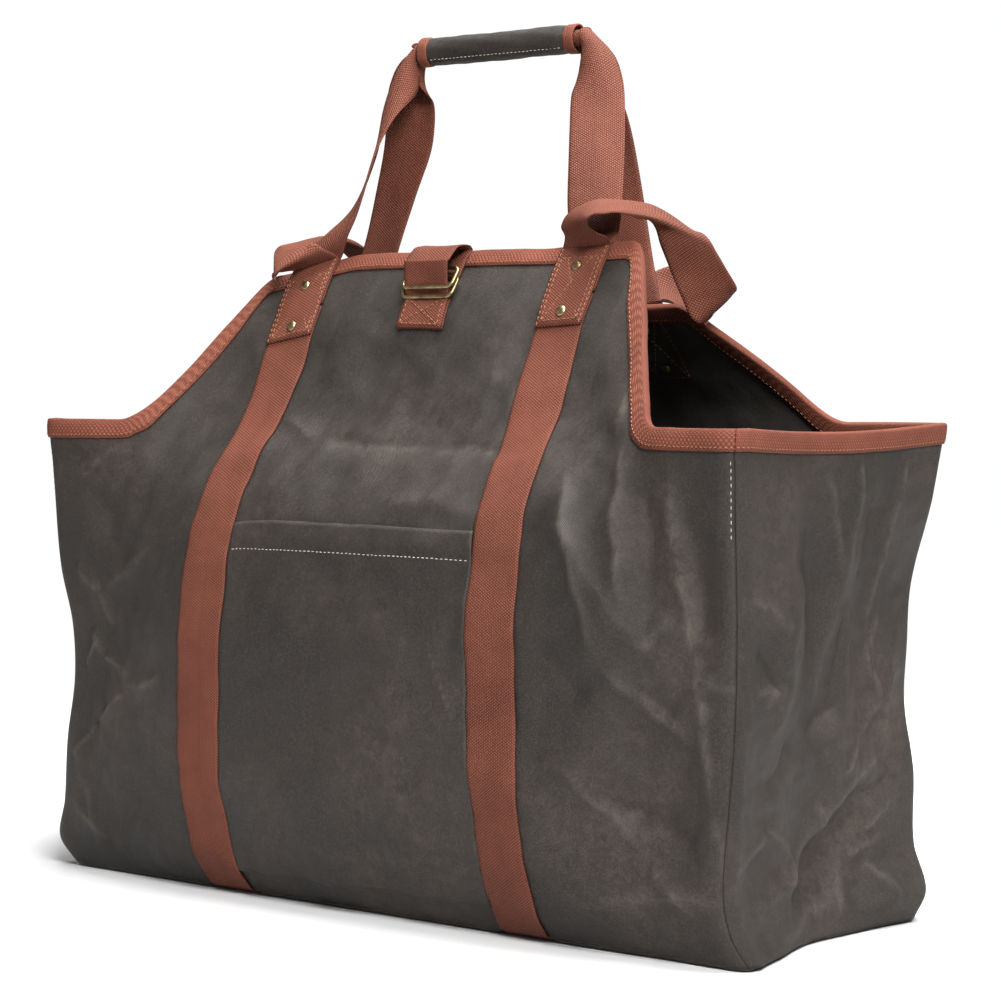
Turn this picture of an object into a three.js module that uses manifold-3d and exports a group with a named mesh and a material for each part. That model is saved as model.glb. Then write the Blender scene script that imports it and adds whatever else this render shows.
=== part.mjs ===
// Waxed canvas log carrier: an open topped tote with low ends, two high flaps that lean
// together, webbing straps that run under the bag and rise as hand loops into one canvas grip,
// a short webbing loop over each end, and a ring tab on the front flap.
// Millimetres. X runs along the bag, the front faces -Y, Z is up. The origin is on the floor
// under the middle of the bag.
import * as THREE from 'three';
import Module from 'manifold-3d';
import { mergeVertices } from 'three/addons/utils/BufferGeometryUtils.js';

const wasm = await Module();
wasm.setup();

// Bag body
const bagLength = 610;
const bagDepth = 248;
const rimHeight = 332;
const frontFlapHeight = 450;
const backFlapHeight = 412;
const flapMargin = 22;
const slopeRun = 61;
const frontLeftDroop = 14;
const frontRightDroop = -3;
const cornerRadius = 14;
const clothThickness = 1.8;
const hemHeight = 2.4;
const endRimSag = 4;

// Webbing straps and trim
const strapSpacing = 247;
const webbingWidth = 38.5;
const webbingThickness = 1.6;
const bindingWidth = 12.5;
const bindingThickness = 1.2;

// Carrying handles and the grip they meet in
const gripLength = 124;
const gripShift = -2;
const gripHeight = 599;
const gripSetback = 35;
const gripTall = 20;
const gripDeep = 17;
const gripBandWidth = 8;
const gatheredWidth = 10;
const gatheredThickness = 4.2;

// Side handles
const sideHandleReach = 72;
const sideHandleRise = 30;

// Ring tab, of the same webbing, and its two wire rings
const tabLoopRise = 3;
const tabLoopDepth = 17;
const ringWidth = 43.5;
const ringHeight = 16.4;
const ringWire = 3;
const ringCorner = 4.5;
const ringSeat = 0.71;
const ringSetback = 2.07;
const ringDrop = 18.9;
const ringTilt = 36;
const ringStep = 3.5;
const ringSlide = 5.7;

// Rivets
const rivetCapRadius = 3.8;
const rivetCapHeight = 1.7;
const rivetBackRadius = 3.4;
const rivetShankRadius = 1.4;
const rivetHoleRadius = 1.8;

// Clearances
const seamGap = 0.3;
const layerGap = 0.3;
const baseMargin = 0.5;

// Colour, roughness and metalness of each finish
const finishes = {
  canvas: { color: 0x3c3732, roughness: 0.72, metalness: 0 },
  webbing: { color: 0x84483a, roughness: 0.85, metalness: 0 },
  binding: { color: 0x8a4d3d, roughness: 0.8, metalness: 0 },
  brass: { color: 0x9a8256, roughness: 0.38, metalness: 0.9 },
};

const strapReach = strapSpacing / 2;
const strapInner = strapReach - webbingWidth / 2;
const strapOuter = strapReach + webbingWidth / 2;
const slopeTop = strapOuter + flapMargin;
const slopeFoot = slopeTop + slopeRun;
const slopeEnd = slopeFoot + slopeRun * 0.2;
const halfDepth = bagDepth / 2;
const halfLength = bagLength / 2;
const inset = clothThickness + seamGap;

// Side profile of the two tall faces. up is a share of the flap height, middle and edge are
// how far the cloth stands out between the straps and near the corners, and aside how far the
// straps drift from their straight lines towards the ends, as shares of half the depth.
const frontProfile = [
  { up: 0.0, middle: 0.84, edge: 0.84, aside: 0.05 },
  { up: 0.055, middle: 1.0, edge: 0.93, aside: 0.06 },
  { up: 0.133, middle: 1.09, edge: 0.97, aside: 0.065 },
  { up: 0.222, middle: 1.14, edge: 0.99, aside: 0.06 },
  { up: 0.333, middle: 1.145, edge: 1.0, aside: 0.04 },
  { up: 0.444, middle: 1.14, edge: 1.0, aside: 0.03 },
  { up: 0.556, middle: 1.09, edge: 1.0, aside: 0.02 },
  { up: 0.622, middle: 0.995, edge: 1.0, aside: 0.0 },
  { up: 0.667, middle: 0.89, edge: 1.0, aside: -0.01 },
  { up: 0.738, middle: 0.7, edge: 1.0, aside: -0.03 },
  { up: 0.778, middle: 0.62, edge: 0.9, aside: -0.035 },
  { up: 0.833, middle: 0.52, edge: 0.74, aside: -0.045 },
  { up: 0.889, middle: 0.43, edge: 0.55, aside: -0.045 },
  { up: 0.944, middle: 0.32, edge: 0.34, aside: -0.04 },
  { up: 1.0, middle: 0.18, edge: 0.18, aside: -0.04 },
];
const backProfile = [
  { up: 0.0, middle: 0.82, edge: 0.84, aside: 0.05 },
  { up: 0.055, middle: 0.98, edge: 0.93, aside: 0.05 },
  { up: 0.146, middle: 1.08, edge: 0.97, aside: 0.05 },
  { up: 0.243, middle: 1.16, edge: 0.99, aside: 0.04 },
  { up: 0.364, middle: 1.2, edge: 1.0, aside: 0.03 },
  { up: 0.485, middle: 1.2, edge: 1.0, aside: 0.02 },
  { up: 0.607, middle: 1.15, edge: 1.0, aside: 0.01 },
  { up: 0.68, middle: 1.07, edge: 1.0, aside: 0.0 },
  { up: 0.728, middle: 0.98, edge: 1.0, aside: 0.0 },
  { up: 0.806, middle: 0.81, edge: 1.0, aside: 0.0 },
  { up: 0.85, middle: 0.71, edge: 0.93, aside: 0.0 },
  { up: 0.886, middle: 0.6, edge: 0.84, aside: 0.0 },
  { up: 0.922, middle: 0.48, edge: 0.7, aside: 0.0 },
  { up: 0.96, middle: 0.34, edge: 0.48, aside: 0.0 },
  { up: 1.0, middle: 0.2, edge: 0.2, aside: 0.0 },
];

// How far each corner stands from the middle of the bag, as a share of half its length, by
// the share of the rim height, and how far the end wall sags in between its two corners, as
// a share of half the depth.
const cornerReach = [
  { up: 0.0, frontLeft: 0.985, backLeft: 0.99, frontRight: 0.99, backRight: 0.99, sag: 0.1 },
  { up: 0.06, frontLeft: 1.015, backLeft: 1.0, frontRight: 0.965, backRight: 1.005, sag: 0.11 },
  { up: 0.15, frontLeft: 0.98, backLeft: 0.97, frontRight: 0.955, backRight: 0.965, sag: 0.08 },
  { up: 0.3, frontLeft: 0.955, backLeft: 0.96, frontRight: 0.975, backRight: 0.955, sag: 0.05 },
  { up: 0.43, frontLeft: 0.925, backLeft: 0.94, frontRight: 0.99, backRight: 0.93, sag: 0.04 },
  { up: 0.55, frontLeft: 0.93, backLeft: 0.94, frontRight: 0.995, backRight: 0.935, sag: 0.04 },
  { up: 0.68, frontLeft: 0.97, backLeft: 0.95, frontRight: 0.995, backRight: 0.945, sag: 0.03 },
  { up: 0.85, frontLeft: 0.99, backLeft: 0.985, frontRight: 0.99, backRight: 0.995, sag: 0.02 },
  { up: 1.0, frontLeft: 1.005, backLeft: 1.01, frontRight: 0.99, backRight: 1.025, sag: 0.02 },
];

// Soft folds pressed into the cloth. along is a share of the way across the panel, from its
// left edge as seen from outside, up a share of the rim height, wide and tall the fold's half
// sizes as shares of the bag's depth and rim height, out its height as a share of half the
// depth, and lean how far it drifts along the panel for each millimetre that it rises.
const folds = [
  { panel: 'front', along: 0.85, up: 0.62, wide: 0.11, tall: 0.34, out: 0.035, lean: 0.25 },
  { panel: 'front', along: 0.91, up: 0.3, wide: 0.1, tall: 0.25, out: -0.03, lean: 0.1 },
  { panel: 'front', along: 0.1, up: 0.55, wide: 0.12, tall: 0.16, out: -0.045, lean: 0.6 },
  { panel: 'front', along: 0.12, up: 0.25, wide: 0.14, tall: 0.14, out: 0.03, lean: -0.5 },
  { panel: 'back', along: 0.12, up: 0.6, wide: 0.12, tall: 0.3, out: 0.035, lean: 0.2 },
  { panel: 'back', along: 0.9, up: 0.4, wide: 0.12, tall: 0.3, out: -0.035, lean: -0.2 },
  { panel: 'endRight', along: 0.2, up: 0.45, wide: 0.1, tall: 0.4, out: 0.05, lean: 0.05 },
  { panel: 'endRight', along: 0.4, up: 0.65, wide: 0.1, tall: 0.35, out: -0.06, lean: -0.15 },
  { panel: 'endRight', along: 0.6, up: 0.5, wide: 0.11, tall: 0.3, out: 0.06, lean: 0.2 },
  { panel: 'endRight', along: 0.8, up: 0.7, wide: 0.1, tall: 0.3, out: -0.05, lean: 0.1 },
  { panel: 'endRight', along: 0.5, up: 0.12, wide: 0.16, tall: 0.12, out: -0.08, lean: 0.4 },
  { panel: 'endLeft', along: 0.25, up: 0.6, wide: 0.1, tall: 0.35, out: -0.05, lean: 0.1 },
  { panel: 'endLeft', along: 0.5, up: 0.5, wide: 0.12, tall: 0.35, out: 0.05, lean: -0.1 },
  { panel: 'endLeft', along: 0.75, up: 0.45, wide: 0.11, tall: 0.35, out: -0.06, lean: 0.15 },
];

// Routes of the carrying handles from the top of a flap to the end of the grip. in, back and
// rise are shares of the way to the grip along X, Y and Z. turn and lean point the width of
// the webbing, in degrees round from +X and up from level. wide is a share of its width.
const handleRoutes = {
  frontLeft: [
    { in: 0.22, back: 0.07, rise: 0.12, turn: -20, lean: 0, wide: 1 },
    { in: 0.52, back: 0.24, rise: 0.28, turn: -44, lean: 0, wide: 1 },
    { in: 0.58, back: 0.52, rise: 0.52, turn: -48, lean: 0, wide: 1 },
    { in: 0.6, back: 0.74, rise: 0.73, turn: -36, lean: -8, wide: 0.95 },
    { in: 0.76, back: 0.88, rise: 0.88, turn: -25, lean: -32, wide: 0.68 },
    { in: 0.92, back: 1, rise: 1, turn: -12, lean: -76, wide: 0.32 },
  ],
  frontRight: [
    { in: -0.05, back: 0.04, rise: 0.05, turn: 5, lean: 0, wide: 1 },
    { in: 0.06, back: 0.21, rise: 0.22, turn: 20, lean: 0, wide: 1 },
    { in: 0.24, back: 0.47, rise: 0.46, turn: 24, lean: 0, wide: 1 },
    { in: 0.45, back: 0.74, rise: 0.7, turn: 20, lean: 2, wide: 1 },
    { in: 0.64, back: 0.9, rise: 0.88, turn: 18, lean: 20, wide: 0.72 },
    { in: 0.87, back: 1, rise: 1, turn: 16, lean: 74, wide: 0.34 },
  ],
  backLeft: [
    { in: 0.2, back: 0.8, rise: 0.235, turn: 172, lean: 0, wide: 1 },
    { in: 0.36, back: 1.45, rise: 0.444, turn: 182, lean: 0, wide: 1 },
    { in: 0.56, back: 1.65, rise: 0.636, turn: 196, lean: 2, wide: 1 },
    { in: 0.67, back: 1.45, rise: 0.82, turn: 196, lean: 10, wide: 0.98 },
    { in: 0.8, back: 1.15, rise: 0.93, turn: 184, lean: 45, wide: 0.6 },
    { in: 0.97, back: 1, rise: 1, turn: 172, lean: 78, wide: 0.3 },
  ],
  backRight: [
    { in: 0.3, back: 1.2, rise: 0.16, turn: 188, lean: 0, wide: 1 },
    { in: 0.5, back: 1.5, rise: 0.39, turn: 196, lean: 0, wide: 1 },
    { in: 0.67, back: 1.5, rise: 0.65, turn: 196, lean: -5, wide: 0.95 },
    { in: 0.78, back: 1.35, rise: 0.79, turn: 194, lean: -22, wide: 0.8 },
    { in: 0.87, back: 1.1, rise: 0.94, turn: 190, lean: -58, wide: 0.5 },
    { in: 0.97, back: 1, rise: 1, turn: 188, lean: -78, wide: 0.3 },
  ],
};

// Routes of the side handles from the front patch to the back patch. out is a share of the
// reach beyond the strap, back a share of the way between the flaps, rise a share of the
// handle's rise over the front flap. The other columns are as above.
const sideRoutes = {
  left: [
    { out: 0.0, back: -0.22, rise: -0.1, turn: 18, lean: 26, wide: 1 },
    { out: 0.05, back: -0.35, rise: -0.1, turn: 80, lean: 42, wide: 1 },
    { out: 0.21, back: -0.37, rise: -0.2, turn: 130, lean: 28, wide: 1 },
    { out: 0.38, back: -0.12, rise: 0.02, turn: 128, lean: 26, wide: 1 },
    { out: 0.42, back: 0.18, rise: 0.18, turn: 116, lean: 24, wide: 1 },
    { out: 0.38, back: 0.5, rise: 0.36, turn: 100, lean: 22, wide: 1 },
    { out: 0.36, back: 0.86, rise: 0.46, turn: 74, lean: 8, wide: 1 },
    { out: 0.28, back: 1.25, rise: 0.3, turn: 40, lean: -14, wide: 1 },
    { out: 0.13, back: 1.5, rise: -0.3, turn: 12, lean: -10, wide: 1 },
    { out: 0.01, back: 1.36, rise: -0.85, turn: 0, lean: 0, wide: 1 },
  ],
  right: [
    { out: -0.04, back: -0.06, rise: 0.24, turn: -8, lean: -4, wide: 1 },
    { out: -0.08, back: -0.14, rise: 0.4, turn: -17, lean: -10, wide: 1 },
    { out: -0.06, back: -0.2, rise: 0.6, turn: -33, lean: -15, wide: 1 },
    { out: 0.01, back: -0.18, rise: 0.8, turn: -49, lean: -16, wide: 1 },
    { out: 0.15, back: -0.08, rise: 0.93, turn: -63, lean: -18, wide: 1 },
    { out: 0.38, back: 0.12, rise: 0.88, turn: -93, lean: -12, wide: 1 },
    { out: 0.59, back: 0.31, rise: 0.62, turn: -117, lean: 5, wide: 1 },
    { out: 0.73, back: 0.49, rise: 0.35, turn: -150, lean: 16, wide: 1 },
    { out: 0.78, back: 0.59, rise: -0.06, turn: -153, lean: 9, wide: 1 },
    { out: 0.83, back: 0.71, rise: -0.51, turn: -146, lean: 2, wide: 1 },
    { out: 0.88, back: 0.86, rise: -1.02, turn: -129, lean: -12, wide: 1 },
    { out: 0.84, back: 1.06, rise: -1.36, turn: -99, lean: -33, wide: 1 },
    { out: 0.6, back: 1.64, rise: -1.0, turn: -82, lean: -46, wide: 1 },
    { out: 0.22, back: 1.68, rise: -0.84, turn: -50, lean: -60, wide: 1 },
    { out: 0.03, back: 1.48, rise: -0.9, turn: -14, lean: -35, wide: 1 },
  ],
};

// Heights of the cloth's grid rows, as shares of the height of the binding's lower edge. The
// pocket, the patches and the strap ends start on rows of this grid.
const rowShares = [0, 0.04, 0.1, 0.175, 0.26, 0.35, 0.44, 0.53, 0.6, 0.68, 0.77, 0.84, 0.9, 0.95, 1];
const topRow = rowShares.length;
const bindingRow = topRow - 1;
const pocketRows = [rowShares.indexOf(0.04), rowShares.indexOf(0.6)];
const patchRow = rowShares.indexOf(0.9);
const buttRow = rowShares.indexOf(0.95);
const routeSteps = 2;

const group = new THREE.Group();
const { lerp, clamp, degToRad, smoothstep } = THREE.MathUtils;

function vector(x, y, z) {
  return new THREE.Vector3(x, y, z);
}

// Smooth curve through one column of a table, read at a value of another column.
function curveOf(rows, along, of) {
  const slopeAt = (index) => {
    const before = rows[Math.max(index - 1, 0)];
    const after = rows[Math.min(index + 1, rows.length - 1)];
    return (after[of] - before[of]) / (after[along] - before[along]);
  };
  return (value) => {
    let index = 0;
    while (index < rows.length - 2 && value > rows[index + 1][along]) {
      index += 1;
    }
    const span = rows[index + 1][along] - rows[index][along];
    const t = clamp((value - rows[index][along]) / span, 0, 1);
    const t2 = t * t;
    const t3 = t2 * t;
    const fromEnds = rows[index][of] * (2 * t3 - 3 * t2 + 1) + rows[index + 1][of] * (3 * t2 - 2 * t3);
    const fromSlopes = slopeAt(index) * (t3 - 2 * t2 + t) + slopeAt(index + 1) * (t3 - t2);
    return fromEnds + fromSlopes * span;
  };
}

// Closed mesh over a row of rings with equally many points. Each ring is an outer line and,
// on its way back, the matching inner line, so the end caps are strips between the two.
function skin(rings, looped = false) {
  const count = rings[0].length;
  const points = rings.flat();
  const positions = points.flatMap((point) => [point.x, point.y, point.z]);
  const index = [];
  const quad = (a, b, c, d) => {
    const shorter = points[a].distanceTo(points[c]) < points[b].distanceTo(points[d]) + 0.01;
    index.push(...(shorter ? [a, b, c, a, c, d] : [a, b, d, b, c, d]));
  };
  const bands = looped ? rings.length : rings.length - 1;
  for (let i = 0; i < bands; i += 1) {
    const here = i * count;
    const next = ((i + 1) % rings.length) * count;
    for (let k = 0; k < count; k += 1) {
      const after = (k + 1) % count;
      quad(here + k, next + k, next + after, here + after);
    }
  }
  if (!looped) {
    const last = (rings.length - 1) * count;
    for (let k = 0; k < count / 2 - 1; k += 1) {
      quad(k, k + 1, count - 2 - k, count - 1 - k);
      quad(last + count - 1 - k, last + count - 2 - k, last + k + 1, last + k);
    }
  }
  const geometry = new THREE.BufferGeometry();
  geometry.setAttribute('position', new THREE.Float32BufferAttribute(positions, 3));
  geometry.setIndex(index);
  return facingOut(geometry);
}

// Reverses the triangles of a closed mesh whose volume comes out negative.
function facingOut(geometry) {
  const position = geometry.getAttribute('position');
  const index = geometry.getIndex();
  const corner = (k) => vector().fromBufferAttribute(position, index.getX(k));
  let volume = 0;
  for (let k = 0; k < index.count; k += 3) {
    volume += corner(k).dot(corner(k + 1).cross(corner(k + 2)));
  }
  if (volume < 0) {
    geometry.setIndex([...index.array].reverse());
  }
  return geometry;
}

// Solid and mesh forms of the same geometry, for the rivet holes.
function solidOf(geometry) {
  const plain = geometry.clone();
  plain.deleteAttribute('normal');
  plain.deleteAttribute('uv');
  const merged = mergeVertices(plain, 1e-4);
  return new wasm.Manifold(new wasm.Mesh({
    numProp: 3,
    vertProperties: merged.getAttribute('position').array,
    triVerts: new Uint32Array(merged.getIndex().array),
  }));
}

function meshOf(solid) {
  const { vertProperties, triVerts } = solid.getMesh();
  const geometry = new THREE.BufferGeometry();
  geometry.setAttribute('position', new THREE.BufferAttribute(vertProperties, 3));
  geometry.setIndex(new THREE.BufferAttribute(triVerts, 1));
  return geometry;
}

function addPart(name, finish, geometry) {
  const shaded = geometry.index ? geometry.toNonIndexed() : geometry;
  shaded.computeVertexNormals();
  const mesh = new THREE.Mesh(shaded, new THREE.MeshStandardMaterial(finishes[finish]));
  mesh.name = name;
  group.add(mesh);
}

// The two tall faces

const faces = {
  front: {
    facing: -1,
    height: frontFlapHeight,
    profile: frontProfile,
    droop: [frontLeftDroop, frontRightDroop],
  },
  back: { facing: 1, height: backFlapHeight, profile: backProfile, droop: [0, 0] },
};

function cornerAt(face, side, height) {
  const column = `${face.facing < 0 ? 'front' : 'back'}${side < 0 ? 'Left' : 'Right'}`;
  return {
    reach: halfLength * curveOf(cornerReach, 'up', column)(height / rimHeight),
    depth: halfDepth * curveOf(face.profile, 'up', 'edge')(height / face.height),
  };
}

// Zero before -soften, then a parabola up to the straight line through the origin.
function easeIn(t, soften) {
  if (t <= -soften) {
    return 0;
  }
  return t >= soften ? t : (t + soften) ** 2 / (4 * soften);
}

function faceTop(face, reach, side) {
  const cornerSoftness = 0.13;
  const footSoftness = 0.2;
  const t = (reach - slopeTop) / slopeRun;
  const fall = easeIn(t, cornerSoftness) - easeIn(t - 1, footSoftness);
  const droop = face.droop[side < 0 ? 0 : 1] * smoothstep(reach, 0.8 * strapInner, slopeTop);
  return lerp(face.height - droop, rimHeight, fall);
}

// Height taken up by the binding below the edge, measured square to the edge on the cloth.
function bindingDrop(face, reach, side) {
  const edgeSlope = (faceTop(face, reach + 1, side) - faceTop(face, reach - 1, side)) / 2;
  const top = faceTop(face, reach, side) / face.height;
  const column = reach < slopeFoot ? 'middle' : 'edge';
  const profile = curveOf(face.profile, 'up', column);
  const step = 0.03;
  const clothSlope = (profile(top) - profile(top - step)) * halfDepth / (step * face.height);
  const stretch = 1 + clothSlope ** 2;
  return bindingWidth * Math.sqrt((1 + edgeSlope ** 2 * stretch) / stretch);
}

function foldHeight(panel, along, up, length) {
  let height = 0;
  for (const fold of folds.filter((row) => row.panel === panel)) {
    const rise = (up - fold.up) * rimHeight;
    const aside = (along - fold.along) * length - fold.lean * rise;
    const spread = (aside / (fold.wide * bagDepth)) ** 2 + (rise / (fold.tall * rimHeight)) ** 2;
    height += fold.out * halfDepth * Math.exp(-spread);
  }
  return height;
}

// Columns of a face from its left edge to its right edge, as seen from outside. A column
// stands at a fixed reach, at a share of the span from the slope to the corner, or at an
// angle round the corner.
function faceColumns(face) {
  const tabEdge = webbingWidth / 2;
  const seamAngle = 45 - THREE.MathUtils.radToDeg(seamGap / 2 / cornerRadius);
  const half = [
    { reach: tabEdge },
    { reach: lerp(tabEdge, strapInner, 0.55) },
    { reach: strapInner },
    { reach: strapOuter },
    ...[0, 0.25, 0.65, 1].map((share) => ({ reach: slopeTop + slopeRun * share })),
    { span: 0 },
    { span: 0.5 },
    { span: 1 },
    { angle: seamAngle / 2 },
    { angle: seamAngle },
  ];
  const sided = (side) => half.map((column) => ({ ...column, side }));
  return [...sided(face.facing).reverse(), { reach: 0, side: 1 }, ...sided(-face.facing)];
}

function facePoint(face, column, row) {
  const nearTop = column.reach === undefined ? slopeEnd : column.reach;
  const top = faceTop(face, nearTop, column.side);
  const low = top - bindingDrop(face, nearTop, column.side);
  const z = row === topRow ? top : lerp(hemHeight, low, rowShares[row]);
  const corner = cornerAt(face, column.side, z);
  const flatEnd = corner.reach - cornerRadius;
  if (column.angle !== undefined) {
    const angle = degToRad(column.angle);
    return vector(
      column.side * (flatEnd + cornerRadius * Math.sin(angle)),
      face.facing * (corner.depth - cornerRadius + cornerRadius * Math.cos(angle)),
      z,
    );
  }
  const reach = column.reach === undefined ? lerp(slopeEnd, flatEnd, column.span) : column.reach;
  const towardsEdge = smoothstep(reach, strapOuter, flatEnd);
  const middle = curveOf(face.profile, 'up', 'middle')(z / face.height) * halfDepth;
  const along = 0.5 - face.facing * column.side * reach / bagLength;
  const panel = face.facing < 0 ? 'front' : 'back';
  const fold = foldHeight(panel, along, z / rimHeight, bagLength) * 4 * towardsEdge * (1 - towardsEdge);
  const drift = curveOf(face.profile, 'up', 'aside')(z / face.height) * halfDepth;
  const aside = drift * smoothstep(reach, 0, strapInner) * (1 - towardsEdge);
  return vector(
    column.side * (reach + aside),
    face.facing * (lerp(middle, corner.depth, towardsEdge) + fold),
    z,
  );
}

// The two low ends

const ends = {
  left: { side: -1, panel: 'endLeft' },
  right: { side: 1, panel: 'endRight' },
};

function endColumns(end) {
  const seamAngle = 45 + THREE.MathUtils.radToDeg(seamGap / 2 / cornerRadius);
  const first = end.side > 0 ? faces.front : faces.back;
  const last = end.side > 0 ? faces.back : faces.front;
  return [
    { face: first, angle: seamAngle },
    { face: first, angle: (seamAngle + 90) / 2 },
    ...[0, 0.12, 0.25, 0.38, 0.5, 0.62, 0.75, 0.88, 1].map((across) => ({ across })),
    { face: last, angle: (seamAngle + 90) / 2 },
    { face: last, angle: seamAngle },
  ];
}

function endPoint(end, column, row) {
  const low = rimHeight - bindingDrop(faces.front, slopeEnd, end.side);
  const z = row === topRow ? rimHeight : lerp(hemHeight, low, rowShares[row]);
  if (column.angle !== undefined) {
    const corner = cornerAt(column.face, end.side, z);
    const angle = degToRad(column.angle);
    return vector(
      end.side * (corner.reach - cornerRadius + cornerRadius * Math.sin(angle)),
      column.face.facing * (corner.depth - cornerRadius + cornerRadius * Math.cos(angle)),
      z,
    );
  }
  const towardsBack = end.side > 0 ? column.across : 1 - column.across;
  const front = cornerAt(faces.front, end.side, z);
  const back = cornerAt(faces.back, end.side, z);
  const belly = 4 * towardsBack * (1 - towardsBack);
  const sag = curveOf(cornerReach, 'up', 'sag')(z / rimHeight) * halfDepth;
  const fold = foldHeight(end.panel, column.across, z / rimHeight, bagDepth);
  return vector(
    end.side * (lerp(front.reach, back.reach, towardsBack) + belly * (fold - sag)),
    lerp(cornerRadius - front.depth, back.depth - cornerRadius, towardsBack),
    z - endRimSag * belly * (z / rimHeight) ** 2,
  );
}

// A grid over a cloth surface, with the outward direction at each of its points.
function clothGrid(columns, pointAt) {
  const rows = Array.from({ length: topRow + 1 }, (_, row) => row);
  const points = columns.map((column) => rows.map((row) => pointAt(column, row)));
  const clampTo = (list, index) => list[clamp(index, 0, list.length - 1)];
  const acrossAt = (i, j) => {
    const chord = clampTo(points, i + 1)[j].clone().sub(clampTo(points, i - 1)[j]);
    if (columns[i].angle === undefined) {
      return chord;
    }
    const turned = (by) => pointAt({ ...columns[i], angle: columns[i].angle + by }, j);
    const arc = turned(1).sub(turned(-1));
    return arc.multiplyScalar(Math.sign(arc.dot(chord)));
  };
  const outward = points.map((line, i) => line.map((_, j) => {
    const upward = clampTo(line, j + 1).clone().sub(clampTo(line, j - 1));
    return acrossAt(i, j).cross(upward).normalize();
  }));
  const at = (i, j, offset) => points[i][j].clone().addScaledVector(outward[i][j], offset);
  return { columns, points, outward, at };
}

function clothPanel(grid) {
  return skin(grid.columns.map((_, i) => [
    ...grid.points[i].map((_, j) => grid.at(i, j, 0)),
    ...grid.points[i].map((_, j) => grid.at(i, j, -clothThickness)).reverse(),
  ]));
}

// Tape folded over the top edge of a panel, from the end of one seam to the other.
function bindingTape(grid) {
  const near = layerGap;
  const far = layerGap + bindingThickness;
  return skin(grid.columns.map((_, i) => {
    const up = grid.points[i][topRow].clone().sub(grid.points[i][bindingRow]).normalize();
    const leg = (offset, over) => [
      grid.at(i, bindingRow, offset),
      grid.at(i, topRow, offset).addScaledVector(up, over),
    ];
    return [
      ...leg(far, far),
      ...leg(-clothThickness - far, far).reverse(),
      ...leg(-clothThickness - near, near),
      ...leg(near, near).reverse(),
    ];
  }));
}

const frontGrid = clothGrid(faceColumns(faces.front), (column, row) => facePoint(faces.front, column, row));
const backGrid = clothGrid(faceColumns(faces.back), (column, row) => facePoint(faces.back, column, row));
const endGrids = {
  left: clothGrid(endColumns(ends.left), (column, row) => endPoint(ends.left, column, row)),
  right: clothGrid(endColumns(ends.right), (column, row) => endPoint(ends.right, column, row)),
};

// Floor of the bag. It rests on the ground and rises a little where the straps pass below it.
function basePanel() {
  const rise = webbingThickness + layerGap;
  const ramp = 4;
  const margin = inset + baseMargin;
  const half = [
    { reach: strapInner - ramp, lift: 0 },
    { reach: strapInner - layerGap, lift: rise },
    { reach: strapOuter + layerGap, lift: rise },
    { reach: strapOuter + ramp, lift: 0 },
    { reach: slopeFoot, lift: 0 },
    { span: 1, lift: 0 },
    { angle: 22, lift: 0 },
    { angle: 44, lift: 0 },
  ];
  const sided = (side) => half.map((column) => ({ ...column, side }));
  const columns = [...sided(-1).reverse(), { reach: 0, lift: 0, side: 1 }, ...sided(1)];
  const cornerOf = (face, column) => {
    const angle = degToRad(column.angle ?? 0);
    const point = facePoint(face, column, 0);
    point.x -= column.side * margin * Math.sin(angle);
    point.y -= face.facing * margin * Math.cos(angle);
    return point;
  };
  const start = strapOuter + ramp;
  const wallStops = [0, 0.25, 0.5, 0.75, 1];
  return skin(columns.map((column) => {
    const front = cornerOf(faces.front, column);
    const back = cornerOf(faces.back, column);
    const seam = { angle: 44, side: column.side };
    const end = column.side < 0 ? ends.left : ends.right;
    const across = wallStops.map((stop) => {
      const wall = endPoint(end, { across: column.side < 0 ? 1 - stop : stop }, 0);
      const reach = Math.abs(lerp(front.x, back.x, stop));
      const seamReach = Math.abs(lerp(cornerOf(faces.front, seam).x, cornerOf(faces.back, seam).x, stop));
      const stretch = (Math.abs(wall.x) - margin - start) / (seamReach - start);
      const x = reach > start ? start + (reach - start) * stretch : reach;
      return vector(column.side * x, wall.y, 0);
    });
    const line = [front, ...across, back];
    const level = (z) => line.map((point) => vector(point.x, point.y, z));
    return [...level(column.lift), ...level(column.lift + clothThickness).reverse()];
  }));
}

// Webbing

// Columns of the grid under a strap or the tab, in the order of their X.
function stripColumns(grid, side, reaches) {
  const find = (reach, sign) => grid.columns.findIndex((column) => (
    column.reach === reach && column.side === sign));
  if (side === 0) {
    return [find(reaches[0], -1), find(reaches[0], 1)];
  }
  const pair = reaches.map((reach) => find(reach, side));
  return side < 0 ? pair.reverse() : pair;
}

// Height of the lowest webbing layer over the cloth. It climbs over the binding at the top.
function liftAt(row) {
  return row < bindingRow ? layerGap : 2 * layerGap + bindingThickness;
}

function layerOffsets(row, layer) {
  const low = liftAt(row) + layer * (webbingThickness + layerGap);
  return [low + webbingThickness, low];
}

// Cross section of webbing that lies on the cloth at a row of its grid: the outer face from
// left to right, then the inner face from right to left.
function laidRing(grid, [left, right], row, [outer, inner]) {
  return [
    grid.at(left, row, outer),
    grid.at(right, row, outer),
    grid.at(right, row, inner),
    grid.at(left, row, inner),
  ];
}

function laidRings(grid, columns, rows, layer) {
  return rows.map((row) => laidRing(grid, columns, row, layerOffsets(row, layer)));
}

function rowRange(from, to) {
  const step = Math.sign(to - from);
  return Array.from({ length: Math.abs(to - from) + 1 }, (_, k) => from + k * step);
}

function mixRings(a, b, share) {
  return a.map((point, k) => point.clone().lerp(b[k], share));
}

function stationOf(ring) {
  return {
    centre: ring.reduce((sum, point) => sum.add(point), vector(0, 0, 0)).divideScalar(ring.length),
    across: ring[1].clone().sub(ring[0]),
    thick: ring[0].distanceTo(ring[3]),
  };
}

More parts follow.
